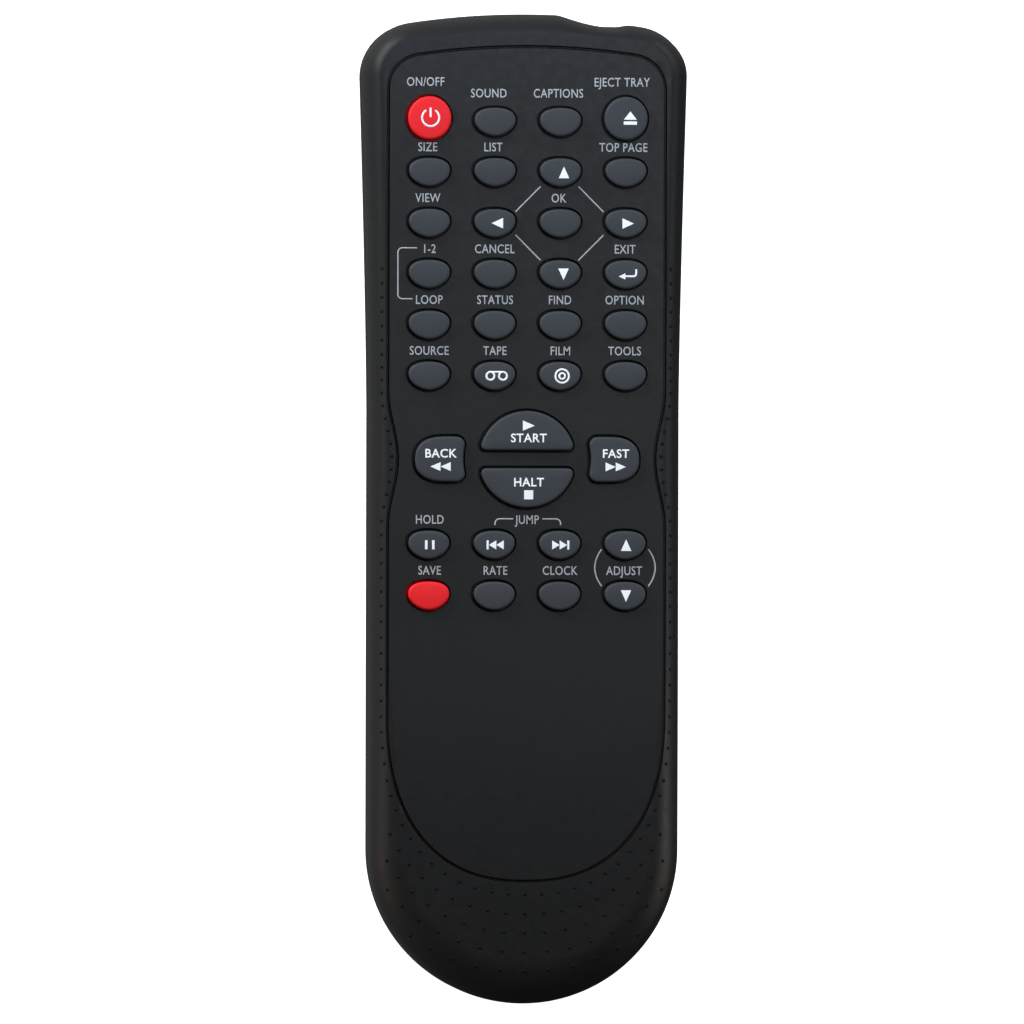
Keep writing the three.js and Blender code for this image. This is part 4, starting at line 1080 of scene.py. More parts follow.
@dataclass(frozen=True)
class KeyShape:
    """Sizes that all keys share, and their outlines."""

    egg_width: float = 7.4 * MM
    egg_length: float = 5.1 * MM
    egg_front_share: float = 0.43
    egg_front_power: float = 2.3
    egg_back_power: float = 1.85
    round_diameter: float = 7.8 * MM
    disc_radius: float = 8.75 * MM
    disc_slot: float = 3.3 * MM
    disc_corner: float = 0.9 * MM
    side_radius: float = 11.65 * MM
    side_width: float = 8.7 * MM
    side_length: float = 8.15 * MM
    side_corner: float = 1.5 * MM
    side_back_share: float = 0.62
    side_back_power: float = 2.4
    clearance: float = 0.45 * MM
    key_shift: float = 0.12 * MM
    flange_lap: float = 0.45 * MM
    flange_thickness: float = 0.7 * MM
    edge: float = 0.42 * MM
    crown: float = 0.11 * MM
    print_room: float = 0.04 * MM
    longest_side: float = 0.6 * MM
    sharp_angle: float = 40.0
    sides: int = 64
    corner_steps: int = 8
    edge_steps: int = 5
    crown_steps: int = 6

    def egg(self, x: float, y: float) -> Line:
        """Gives the outline of an egg-shaped key.

        Args:
            x: Its middle.
            y: Its middle.

        Returns:
            The loop, counterclockwise.
        """
        widest = y + self.egg_length * (1 / 2 - self.egg_front_share)
        points = []
        for i in range(self.sides):
            turn = 2 * pi * i / self.sides
            c, s = cos(turn), sin(turn)
            front = s > 0
            power = 2 / (self.egg_front_power if front else self.egg_back_power)
            reach = self.egg_length * (self.egg_front_share if front else 1 - self.egg_front_share)
            across = self.egg_width / 2 * copysign(abs(c) ** power, c)
            points.append((x + across, widest + reach * copysign(abs(s) ** power, s)))
        return points

    def disc_half(self, y: float, side: int) -> Line:
        """Gives half of the large disc, beyond its slot.

        Args:
            y: The disc's middle.
            side: 1 for the front half and -1 for the other one.

        Returns:
            The loop, counterclockwise.
        """
        inner, steps = self.disc_slot / 2 + self.disc_corner, self.corner_steps
        corner_x = sqrt((self.disc_radius - self.disc_corner) ** 2 - inner**2)
        start = atan2(inner, corner_x)
        points = arc(0.0, 0.0, self.disc_radius, start, pi - start, self.sides)
        points += arc(-corner_x, inner, self.disc_corner, pi - start, 3 * QUARTER, steps)[1:]
        points += arc(corner_x, inner, self.disc_corner, -QUARTER, start, steps)[:-1]
        turned = [(side * a, y + side * b) for a, b in points]
        return refined(turned, self.longest_side)

    def side_key(self, y: float, side: int) -> Line:
        """Gives a key beside the disc, hollow towards the disc.

        Args:
            y: The disc's middle.
            side: 1 for the right key and -1 for the left one.

        Returns:
            The loop, counterclockwise.
        """
        half, steps = self.side_length / 2, self.corner_steps
        back = self.side_width * self.side_back_share
        round_x = self.side_radius + self.side_width - back
        points = []
        power = 2 / self.side_back_power
        for i in range(self.sides // 2 + 1):
            turn = pi * (2 * i / self.sides - 1 / 2)
            c, s = max(cos(turn), 0.0), sin(turn)
            points.append((round_x + back * c**power, half * copysign(abs(s) ** power, s)))
        corner_y = half - self.side_corner
        corner_x = sqrt(self.side_radius**2 - corner_y**2) + self.side_corner
        points += arc(corner_x, corner_y, self.side_corner, QUARTER, pi, steps)
        for i in range(1, steps):
            b = corner_y * (1 - 2 * i / steps)
            points.append((sqrt(self.side_radius**2 - b**2), b))
        points += arc(corner_x, -corner_y, self.side_corner, pi, 3 * QUARTER, steps)
        turned = [(side * a, y + b) for a, b in points]
        return refined(turned if side > 0 else list(reversed(turned)), self.longest_side)


class Plan:
    """Names, places and outlines that every sub-assembly reads."""

    ROUND = ("power", "eject")
    RED = ("power", "record")

    def __init__(self) -> None:
        """Reads the key places and the case from the frame."""
        self.keys = KeyShape()
        self.names = [n.removeprefix("key_") for n in frame["nodes"] if n.startswith("key_")]
        play, stop = self.centre("play"), self.centre("stop")
        self.disc_y = (play.y + stop.y) / 2
        low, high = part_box("upper_case")
        self.case = CaseShape(low, high, self.disc_y)
        self.flange_z, self.key_top = (corner.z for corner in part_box("key_play"))

    @staticmethod
    def centre(name: str) -> Vector:
        """Gives the middle of a key, by its short name."""
        low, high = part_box("key_" + name)
        return (low + high) / 2

    def outline(self, name: str) -> Line:
        """Gives the outline of a key where it leaves the panel.

        Args:
            name: The key's short name.

        Returns:
            The loop, counterclockwise.
        """
        middle = self.centre(name)
        if name in self.ROUND:
            return circle(middle.x, middle.y, self.keys.round_diameter / 2, self.keys.sides)
        if name in ("play", "stop"):
            return self.keys.disc_half(self.disc_y, 1 if name == "play" else -1)
        if name in ("rewind", "forward"):
            return self.keys.side_key(self.disc_y, 1 if name == "forward" else -1)
        return self.keys.egg(middle.x, middle.y)

    def front_edge(self, name: str) -> float:
        """Gives the front end of a key's opening."""
        return max(y for _, y in self.outline(name)) + self.keys.clearance


@dataclass
class UpperCase:
    """The moulded key shell with its openings, its groove and the scallop at the window."""

    plan: Plan
    wall: float = 2 * MM
    overrun: float = 1 * MM
    inner_shoulder_width: float = 2.4 * MM
    inner_shoulder_height: float = 4.5 * MM
    rim: float = 0.08 * MM
    groove_half: float = 0.27 * MM
    groove_depth: float = 1.1 * MM
    groove_rim: float = 0.06 * MM
    groove_shares: tuple[Flat, ...] = ((0.9, 0.6), (0.6, 0.95), (0.0, 1.0))
    rim_share: float = 0.3
    window_gap: float = 0.3 * MM
    window_lap: float = 1 * MM
    pin_radius: float = 1.1 * MM
    pin_low: float = 14.3 * MM
    pin_sides: int = 24
    shoulder_steps: int = 14
    inner_steps: int = 6
    sharp_angle: float = 40.0

    def outer(self) -> Piece:
        """Makes the outside, with a small round at its lower rim.

        Returns:
            The solid.
        """
        case = self.plan.case
        rings = [case.level(self.rim, case.part_z), case.level(0.0, case.part_z + self.rim)]
        for i in range(self.shoulder_steps + 1):
            turn = QUARTER * i / self.shoulder_steps
            inset = case.shoulder_width * (1 - cos(turn))
            z = case.panel_z - case.shoulder_height * (1 - sin(turn))
            rings.append(case.face_ring(inset, z))
        return Form.skin("upper_shell", rings, Ends.STRIPS)

    def inner(self) -> Piece:
        """Makes the hollow under the face.

        Returns:
            The cutter.
        """
        case = self.plan.case
        top = case.panel_z - self.wall
        rings = [case.level(self.wall, case.part_z - self.overrun)]
        for i in range(self.inner_steps + 1):
            turn = QUARTER * i / self.inner_steps
            inset = self.wall + self.inner_shoulder_width * (1 - cos(turn))
            z = top - self.inner_shoulder_height * (1 - sin(turn))
            rings.append([(x, y, z - case.droop(y)) for x, y in case.loop(inset)])
        return Form.skin("hollow", rings, Ends.STRIPS)

    def groove(self) -> Piece:
        """Makes a rounded channel with soft rims, which cuts the groove.

        Returns:
            The cutter.
        """
        case = self.plan.case
        half, deep, rim = self.groove_half, self.groove_depth, self.groove_rim
        profile = [
            (half + rim, self.overrun),
            (half + rim, 0.0),
            (half + rim * self.rim_share, -rim * self.rim_share),
            (half, -rim),
        ]
        profile += [(half * across, -deep * down) for across, down in self.groove_shares]
        profile = [(-across, height) for across, height in profile] + profile[-2::-1]
        middle = case.groove()
        sides = [offset(middle, across) for across, _ in profile]
        rings = []
        for side, (_, height) in zip(sides, profile):
            rings.append([(x, y, case.panel_z - case.droop(y) + height) for x, y in side])
        return Form.skin("groove", rings, Ends.HOOP)

    def opening(self, name: str) -> Piece:
        """Makes the cutter for one key, with a soft rim.

        Args:
            name: The key's short name.

        Returns:
            The cutter.
        """
        case, gap = self.plan.case, self.plan.keys.clearance
        loop = self.plan.outline(name)
        top = case.panel_z - case.droop(self.plan.centre(name).y)
        steps = [
            (gap, top - self.wall - self.overrun),
            (gap, top - self.rim),
            (gap + self.rim * self.rim_share, top - self.rim * self.rim_share),
            (gap + self.rim, top),
            (gap + self.rim, top + self.overrun),
        ]
        return Form.skin("opening", [[(*p, z) for p in offset(loop, grow)] for grow, z in steps])

    def build(self) -> Piece:
        """Builds the shell.

        Returns:
            The finished piece.
        """
        case = self.plan.case
        openings = Form.joined("openings", [self.opening(name) for name in self.plan.names])
        low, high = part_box("ir_window")
        shrink = self.window_lap - self.window_gap
        window = Form.block(
            (low.x + shrink, low.y - self.overrun, case.part_z - self.overrun),
            (high.x - shrink, case.high.y, high.z - shrink),
        )
        shell = Form.change(self.outer(), Join.CUT, self.inner(), self.groove(), openings, window)
        top = case.panel_z - self.wall / 2
        for x, y in pin_places(self.plan):
            pin = Form.prism(circle(x, y, self.pin_radius, self.pin_sides), self.pin_low, top)
            Form.change(shell, Join.ADD, pin)
        Form.smooth(shell, self.sharp_angle)
        return seat(dress(shell, CASE_PLASTIC), Body.CASE.value, Slot.CASE, "upper_case")


def pin_places(plan: Plan) -> Line:
    """Gives the places of the four pins that hold the board.

    Args:
        plan: The plan of the handset.

    Returns:
        The places, midway between rows of keys.
    """
    rows = (("list", "left"), ("skip_back", "speed"))
    pitch = plan.centre("caption").x - plan.centre("sound").x
    middles = [(plan.centre(a).y + plan.centre(b).y) / 2 for a, b in rows]
    return [(side * pitch, y) for y in middles for side in (-1, 1)]


@dataclass
class LowerCase:
    """The back shell with the recess for the door and the bay for two cells."""

    plan: Plan
    wall: float = 2 * MM
    gap: float = 0.3 * MM
    overrun: float = 1 * MM
    heel_width: float = 3.4 * MM
    heel_height: float = 5 * MM
    rim: float = 0.15 * MM
    lip_height: float = 1.8 * MM
    lip_root: float = 2.6 * MM
    lip_thickness: float = 1 * MM
    lip_lap: float = 1.2 * MM
    door_thickness: float = 2 * MM
    door_half: float = 20 * MM
    tongue_reach: float = 1.2 * MM
    tongue_thickness: float = 0.8 * MM
    rail_width: float = 3 * MM
    rail_depth: float = 1.4 * MM
    tray_wall: float = 1 * MM
    cell_clearance: float = 0.4 * MM
    boss_wall: float = 1.2 * MM
    pin_hole: float = 1.4 * MM
    boss_top: float = 17 * MM
    contact_thickness: float = 0.5 * MM
    contact_height: float = 9.6 * MM
    contact_tab: float = 2.4 * MM
    heel_steps: int = 10
    boss_sides: int = 32
    hole_sides: int = 24
    sharp_angle: float = 30.0

    def top(self) -> float:
        """Gives the height of the shell's rim."""
        return self.plan.case.part_z - self.gap

    def outer(self) -> Piece:
        """Makes the outside with its rounded heel.

        Returns:
            The solid.
        """
        case, top = self.plan.case, self.top()
        rings = []
        for i in range(self.heel_steps + 1):
            turn = QUARTER * i / self.heel_steps
            inset = self.heel_width * (1 - sin(turn))
            rings.append(case.level(inset, self.heel_height * (1 - cos(turn))))
        rings += [case.level(0.0, top - self.rim), case.level(self.rim, top)]
        return Form.skin("lower_shell", rings, Ends.STRIPS)

    def hollow(self) -> Piece:
        """Makes the space inside the shell.

        Returns:
            The cutter.
        """
        case = self.plan.case
        rings = [
            case.level(self.heel_width + self.wall, self.wall),
            case.level(self.wall, self.heel_height + self.wall),
            case.level(self.wall, self.top() + self.overrun),
        ]
        return Form.skin("hollow", rings, Ends.STRIPS)

    def lip(self) -> Piece:
        """Makes the lip that stands inside the upper shell, with its gap at the window.

        Returns:
            The solid.
        """
        case, top = self.plan.case, self.top()
        bottom, tip = top - self.lip_root, case.part_z + self.lip_height
        outer, inner = self.wall + self.gap, self.wall + self.gap + self.lip_thickness
        shoulder = top - self.rim
        steps = [(self.lip_lap, bottom), (self.lip_lap, shoulder), (outer, shoulder), (outer, tip)]
        outside = Form.skin("lip", [case.level(*step) for step in steps], Ends.STRIPS)
        steps = [(inner, bottom - self.overrun), (inner, tip + self.overrun)]
        inside = Form.skin("inside", [case.level(*step) for step in steps], Ends.STRIPS)
        low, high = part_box("ir_window")
        notch = Form.block(
            (low.x - self.gap, low.y - self.gap, bottom),
            (high.x + self.gap, case.high.y, tip + self.overrun),
        )
        return Form.change(outside, Join.CUT, inside, notch)

    def channels(self, grow: float, low: float, start: float, end: float) -> Piece:
        """Makes the two round channels of the bay as one solid.

        Args:
            grow: How much wider than the cells' space it is.
            low: Its lower height.
            start: Its end towards the tail.
            end: Its end towards the front.

        Returns:
            The solid.
        """
        left, right = (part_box("battery_" + side) for side in ("left", "right"))
        axis = (left[0].z + left[1].z) / 2
        radius = (left[1].z - left[0].z) / 2 + self.cell_clearance + grow
        middles = [(corner[0].x + corner[1].x) / 2 for corner in (left, right)]
        half = middles[1] + radius
        solid = Form.block((-half, start, low), (half, end, axis))
        for x in middles:
            profile = [(radius, 0.0), (radius, end - start)]
            tube = Form.lathe("tube", profile, CELL_SIDES, Vector((x, start, axis)), 1)
            Form.change(solid, Join.ADD, tube)
        return solid

    def door_blank(self, grow: float, front: float) -> Piece:
        """Makes the door's plate with its two tongues.

        Args:
            grow: How much larger than the door it is.
            front: Its end towards the front.

        Returns:
            The solid.
        """
        tail = self.plan.case.low.y - self.overrun
        half, top = self.door_half + grow, self.door_thickness + grow
        low = -self.overrun if grow > 0 else 0.0
        tongue_low = self.door_thickness - self.tongue_thickness - grow
        reach = half + self.tongue_reach
        plate = Form.block((-half, tail, low), (half, front, top))
        tongues = Form.block((-reach, tail, tongue_low), (reach, front, top))
        return Form.change(plate, Join.ADD, tongues)

    def build(self) -> None:
        """Builds the shell."""
        case = self.plan.case
        door_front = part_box("battery_door")[1].y
        shelf_top = self.door_thickness + self.gap + self.rail_depth
        shelf_half = self.door_half + self.tongue_reach + self.rail_width
        shelf = Form.block(
            (-shelf_half, case.low.y, self.wall / 2),
            (shelf_half, door_front + self.rail_width, shelf_top),
        )
        Form.change(shelf, Join.KEEP, self.outer())
        shell = Form.change(self.outer(), Join.CUT, self.hollow())
        bay_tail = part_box("bridge_contact")[0].y - self.gap
        bay_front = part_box("front_spring")[1].y + 2 * self.gap + self.contact_thickness
        tray = self.channels(
            self.tray_wall,
            shelf_top - self.rail_depth / 2,
            bay_tail - self.tray_wall,
            bay_front + self.tray_wall,
        )
        Form.change(shell, Join.ADD, self.lip(), shelf, tray)
        Form.change(shell, Join.CUT, self.channels(0.0, -self.overrun, bay_tail, bay_front))
        for name in ("positive_contact", "negative_contact"):
            low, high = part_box(name)
            middle, half = (low.x + high.x) / 2, self.contact_tab / 2 + self.gap
            pad_top = low.z + self.contact_height
            slot = Form.block(
                (middle - half, bay_front - self.overrun, pad_top - self.contact_thickness - self.gap),
                (middle + half, bay_front + self.tray_wall + self.overrun, pad_top + self.gap),
            )
            Form.change(shell, Join.CUT, slot)
        Form.change(shell, Join.CUT, self.door_blank(self.gap, door_front + self.gap))
        for x, y in pin_places(self.plan):
            rim = circle(x, y, self.pin_hole + self.boss_wall, self.boss_sides)
            hole = circle(x, y, self.pin_hole, self.hole_sides)
            Form.change(shell, Join.ADD, Form.prism(rim, self.wall / 2, self.boss_top))
            bore = Form.prism(hole, self.wall, self.boss_top + self.overrun)
            Form.change(shell, Join.CUT, bore)
        shell.name = "lower_shell"
        Form.smooth(shell, self.sharp_angle)
        seat(dress(shell, CASE_PLASTIC), Body.CASE.value, Slot.CASE, "lower_case")


@dataclass
class BatteryDoor:
    """The door on the back, with grip grooves and an arrow that shows which way it slides."""

    shell: LowerCase
    groove_count: int = 5
    groove_pitch: float = 2.2 * MM
    groove_width: float = 1 * MM
    groove_depth: float = 0.5 * MM
    groove_half: float = 7 * MM
    groove_setback: float = 9 * MM
    arrow_half: float = 3.6 * MM
    arrow_length: float = 4.2 * MM
    arrow_gap: float = 3 * MM
    groove_round_share: float = 0.8

    def grooves(self, front: float) -> Piece:
        """Makes the cutter of the grip grooves.

        Args:
            front: The door's front end.

        Returns:
            The cutter.
        """
        first = front - self.groove_setback
        half = self.groove_width / 2
        bar = Form.block(
            (-self.groove_half, first - half, -self.groove_depth),
            (self.groove_half, first + half, self.groove_depth),
            rounding=half * self.groove_round_share,
        )
        pitch = (0.0, -self.groove_pitch, 0.0)
        values = {"Count": self.groove_count, "Pitch": pitch, "Finish": CASE_PLASTIC.material()}
        return RibTool().run(bar, values)

    def build(self) -> None:
        """Builds the door."""
        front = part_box("battery_door")[1].y
        door = Form.change(self.shell.door_blank(0.0, front), Join.KEEP, self.shell.outer())
        base = front - self.groove_setback - self.groove_count * self.groove_pitch - self.arrow_gap
        arrow = [(-self.arrow_half, base), (0.0, base - self.arrow_length), (self.arrow_half, base)]
        arrow = Form.prism(arrow, -self.groove_depth, self.groove_depth)
        Form.change(door, Join.CUT, self.grooves(front), arrow)
        door.name = "door_plate"
        Form.smooth(door, self.shell.sharp_angle)
        seat(dress(door, CASE_PLASTIC), Body.DOOR.value, Slot.CASE, "battery_door")


@dataclass
class Keypad:
    """The 36 silicone keys."""

    plan: Plan

    def key(self, name: str) -> Piece:
        """Builds one key: a flange, a shaft, a rounded edge and a crowned face.

        Args:
            name: The key's short name.

        Returns:
            The finished piece.
        """
        shape = self.plan.keys
        loop = [(x + shape.key_shift, y) for x, y in self.plan.outline(name)]
        low = self.plan.flange_z
        face = self.plan.key_top - shape.crown - shape.print_room
        flange = offset(loop, shape.clearance + shape.flange_lap)
        rings = [[(*point, z) for point in flange] for z in (low, low + shape.flange_thickness)]
        rings += [[(*point, low + shape.flange_thickness) for point in loop]]
        for i in range(shape.edge_steps + 1):
            turn = QUARTER * i / shape.edge_steps
            inset = shape.edge * (1 - cos(turn))
            z = face - shape.edge * (1 - sin(turn))
            rings.append([(*point, z) for point in offset(loop, -inset)])
        top = rings[-1]
        middle = Vector([sum(axis) / len(top) for axis in zip(*top)])
        for i in range(1, shape.crown_steps):
            share = 1 - i / shape.crown_steps
            lift = shape.crown * (1 - share**2)
            rings.append([tuple(middle.lerp(Vector(p), share) + Vector((0, 0, lift))) for p in top])
        key = Form.skin(name + "_cap", rings)
        key.data.vertices[-1].co.z = face + shape.crown
        Form.smooth(key, shape.sharp_angle, weighted=False)
        red = name in self.plan.RED
        dress(key, RED_RUBBER if red else KEY_RUBBER)
        return seat(key, name + "_key", Slot.RED_KEY if red else Slot.KEY, "key_" + name)

    def build(self) -> dict[str, Piece]:
        """Builds all keys.

        Returns:
            The finished pieces by short name.
        """
        return {name: self.key(name) for name in self.plan.names}


@dataclass
class Pen:
    """Collects the strokes, areas and words of one piece of printing."""

    finish: Finish
    line_width: float = 0.2 * MM
    thickness: float = 0.018 * MM
    lift: float = 0.004 * MM
    corner: float = 0.0
    capital_share: float = 0.729
    area_cuts: int = 2
    letter_gap: float = 1.06
    letter_steps: int = 3
    ring_sides: int = 40
    strokes: list[Line] = field(default_factory=list)
    areas: list[Line] = field(default_factory=list)
    words: list[Piece] = field(default_factory=list)

    def stroke(self, points: Line) -> None:
        """Adds a printed line through points."""
        self.strokes.append(list(points))

    def ring(self, x: float, y: float, radius: float) -> None:
        """Adds a printed circle."""
        loop = circle(x, y, radius, self.ring_sides)
        self.strokes.append([*loop, loop[0]])

    def area(self, points: Line) -> None:
        """Adds a filled area, counterclockwise."""
        self.areas.append(list(points))

    def bar(self, x: float, y: float, width: float, height: float) -> None:
        """Adds a filled bar round its middle."""
        a, b = width / 2, height / 2
        self.area([(x - a, y - b), (x + a, y - b), (x + a, y + b), (x - a, y + b)])

    def triangle(self, x: float, y: float, length: float, base: float, heading: float) -> None:
        """Adds a filled triangle.

        Args:
            x: Its middle.
            y: Its middle.
            length: From its base to its tip.
            base: Width of its base.
            heading: The angle that its tip points to.
        """
        c, s = cos(heading), sin(heading)
        corners = [(-length / 2, -base / 2), (length / 2, 0.0), (-length / 2, base / 2)]
        self.area([(x + a * c - b * s, y + a * s + b * c) for a, b in corners])

    def word(self, text: str, x: float, base: float, cap: float, narrow: float, weight: float) -> None:
        """Adds a word, centred on a place.

        Args:
            text: The word.
            x: Its middle.
            base: Where its letters stand.
            cap: Height of its capitals.
            narrow: Width of the letters as a share of the built-in ones.
            weight: How far the strokes are thickened, as a share of the height.
        """
        curve = bpy.data.curves.new("word", "FONT")
        curve.body = text
        curve.align_x = "CENTER"
        curve.size = 1.0
        curve.offset = weight
        curve.space_character = self.letter_gap
        curve.resolution_u = self.letter_steps
        curve.extrude = 1.0
        made = placed("word", curve)
        mesh = Form.evaluated(made)
        bpy.data.objects.remove(made)
        scale = cap / self.capital_share
        mesh.transform(Matrix.Diagonal((scale * narrow, scale, self.thickness / 2, 1.0)))
        mesh.transform(Matrix.Translation((x, base, self.thickness / 2)))
        self.words.append(placed("word", mesh))

    def lines(self) -> list[Piece]:
        """Turns the strokes into flat bands.

        Returns:
            One object, or none if there is no stroke.
        """
        if not self.strokes:
            return []
        points, edges = [], []
        for stroke in self.strokes:
            start = len(points)
            points += [(x, y, self.thickness / 2) for x, y in stroke]
            edges += [(start + i, start + i + 1) for i in range(len(stroke) - 1)]
        mesh = bpy.data.meshes.new("strokes")
        mesh.from_pydata(points, edges, [])
        values = {
            "Width": self.line_width,
            "Thickness": self.thickness,
            "Corner": self.corner,
            "Finish": self.finish.material(),
        }
        return [LineTool().run(placed("strokes", mesh), values)]

    def print(self, name: str, height: Callable[[float, float], float]) -> Piece:
        """Lays the printing on a surface.

        Args:
            name: The piece's name.
            height: The height of the surface at a place.

        Returns:
            The piece.
        """
        parts = self.lines() + self.words
        for area in self.areas:
            parts.append(Form.finer(Form.prism(area, 0.0, self.thickness), self.area_cuts))
        piece = Form.joined(name, parts)
        for vertex in piece.data.vertices:
            vertex.co.z += height(vertex.co.x, vertex.co.y) + self.lift
        piece.data.update()
        return dress(piece, self.finish)


@dataclass(frozen=True)
class Legend:
    """A word over a key."""

    key: str
    text: str
    shift: float = 0.0


@dataclass
class PanelPrint:
    """Words and guide lines on the panel. The words are plain ones for what the keys do."""

    plan: Plan
    cap: float = 1.66 * MM
    narrow: float = 0.8
    weight: float = 0.006
    gap: float = 0.825 * MM
    first_gap: float = 1.465 * MM
    guide_near: Flat = (3.45 * MM, 6.7 * MM)
    guide_far: Flat = (8.0 * MM, 2.1 * MM)
    bracket_x: float = 5.55 * MM
    bracket_rise: float = 0.9 * MM
    bracket_ends: Flat = (2.1 * MM, 2.9 * MM)
    skip_reach: float = 3.3 * MM
    skip_drop: float = 1.1 * MM
    skip_shift: float = 0.3 * MM
    skip_word_shift: float = 0.2 * MM
    brace_half: float = 5.5 * MM
    brace_end: float = 4.25 * MM
    brace_height: float = 3.35 * MM
    brace_shift: Flat = (0.15 * MM, 0.5 * MM)
    brace_steps: int = 12
    line_width: float = 0.24 * MM
    corner: float = 0.8 * MM
    legends: tuple[Legend, ...] = (
        Legend("power", "ON/OFF", -0.6 * MM),
        Legend("sound", "SOUND", -1.0 * MM),
        Legend("caption", "CAPTIONS", -0.25 * MM),
        Legend("eject", "EJECT TRAY", -0.6 * MM),
        Legend("size", "SIZE", -0.2 * MM),
        Legend("list", "LIST", -0.2 * MM),
        Legend("menu", "TOP PAGE", -0.3 * MM),
        Legend("view", "VIEW", -0.15 * MM),
        Legend("enter", "OK", -0.15 * MM),
        Legend("mark", "1-2", 0.1 * MM),
        Legend("cancel", "CANCEL", 0.1 * MM),
        Legend("return", "EXIT"),
        Legend("loop", "LOOP", 0.1 * MM),
        Legend("info", "STATUS", 0.2 * MM),
        Legend("find", "FIND", 0.1 * MM),
        Legend("option", "OPTION"),
        Legend("source", "SOURCE", 0.15 * MM),
        Legend("tape", "TAPE", 0.2 * MM),
        Legend("disc", "FILM", 0.2 * MM),
        Legend("tools", "TOOLS"),
        Legend("pause", "HOLD", 0.3 * MM),
        Legend("record", "SAVE", 0.3 * MM),
        Legend("speed", "RATE", 0.35 * MM),
        Legend("timer", "CLOCK", 0.2 * MM),
        Legend("tracking_down", "ADJUST"),
    )

    def height(self, _x: float, y: float) -> float:
        """Gives the height of the panel at a place."""
        return self.plan.case.panel_z - self.plan.case.droop(y)

    def baseline(self, name: str) -> float:
        """Gives the line on which the word over a key stands."""
        gap = self.first_gap if name in ("power", "sound", "caption", "eject") else self.gap
        return self.plan.front_edge(name) + gap

    def words(self) -> None:
        """Prints the words."""
        pen = Pen(GREY_INK)
        for legend in self.legends:
            x = self.plan.centre(legend.key).x + legend.shift
            base = self.baseline(legend.key)
            pen.word(legend.text, x, base, self.cap, self.narrow, self.weight)
        base = self.baseline("skip_back")
        pen.word("JUMP", self.skip_word_shift, base, self.cap, self.narrow, self.weight)
        seat(pen.print("panel_words", self.height), Body.CASE.value, Slot.CASE)

    def lines(self) -> None:
        """Prints the guide lines."""
        pen = Pen(GREY_INK, line_width=self.line_width, corner=self.corner)
        enter = self.plan.centre("enter")
        for across in (-1, 1):
            for along in (-1, 1):
                start = (enter.x + across * self.guide_near[0], enter.y + along * self.guide_near[1])
                end = (enter.x + across * self.guide_far[0], enter.y + along * self.guide_far[1])
                pen.stroke([start, end])
        left = self.plan.centre("mark").x - self.bracket_x
        ends = []
        for name, gap in zip(("mark", "loop"), self.bracket_ends):
            ends.append((self.plan.centre(name).x - gap, self.baseline(name) + self.bracket_rise))
        pen.stroke([ends[0], (left, ends[0][1]), (left, ends[1][1]), ends[1]])
        rise = self.baseline("skip_back") + self.bracket_rise
        for name, side in (("skip_back", 1), ("skip_forward", -1)):
            x = self.plan.centre(name).x + self.skip_shift
            pen.stroke([(x, rise - self.skip_drop), (x, rise), (x + side * self.skip_reach, rise)])
        up, down = self.plan.centre("tracking_up"), self.plan.centre("tracking_down")
        middle = ((up + down) / 2).to_2d() + Vector(self.brace_shift)
        for side in (-1, 1):
            points = []
            for i in range(self.brace_steps + 1):
                share = 2 * i / self.brace_steps - 1
                reach = self.brace_half + (self.brace_end - self.brace_half) * share**2
                points.append((middle.x + side * reach, middle.y + share * self.brace_height))
            pen.stroke(points)
        seat(pen.print("panel_lines", self.height), Body.CASE.value, Slot.CASE)


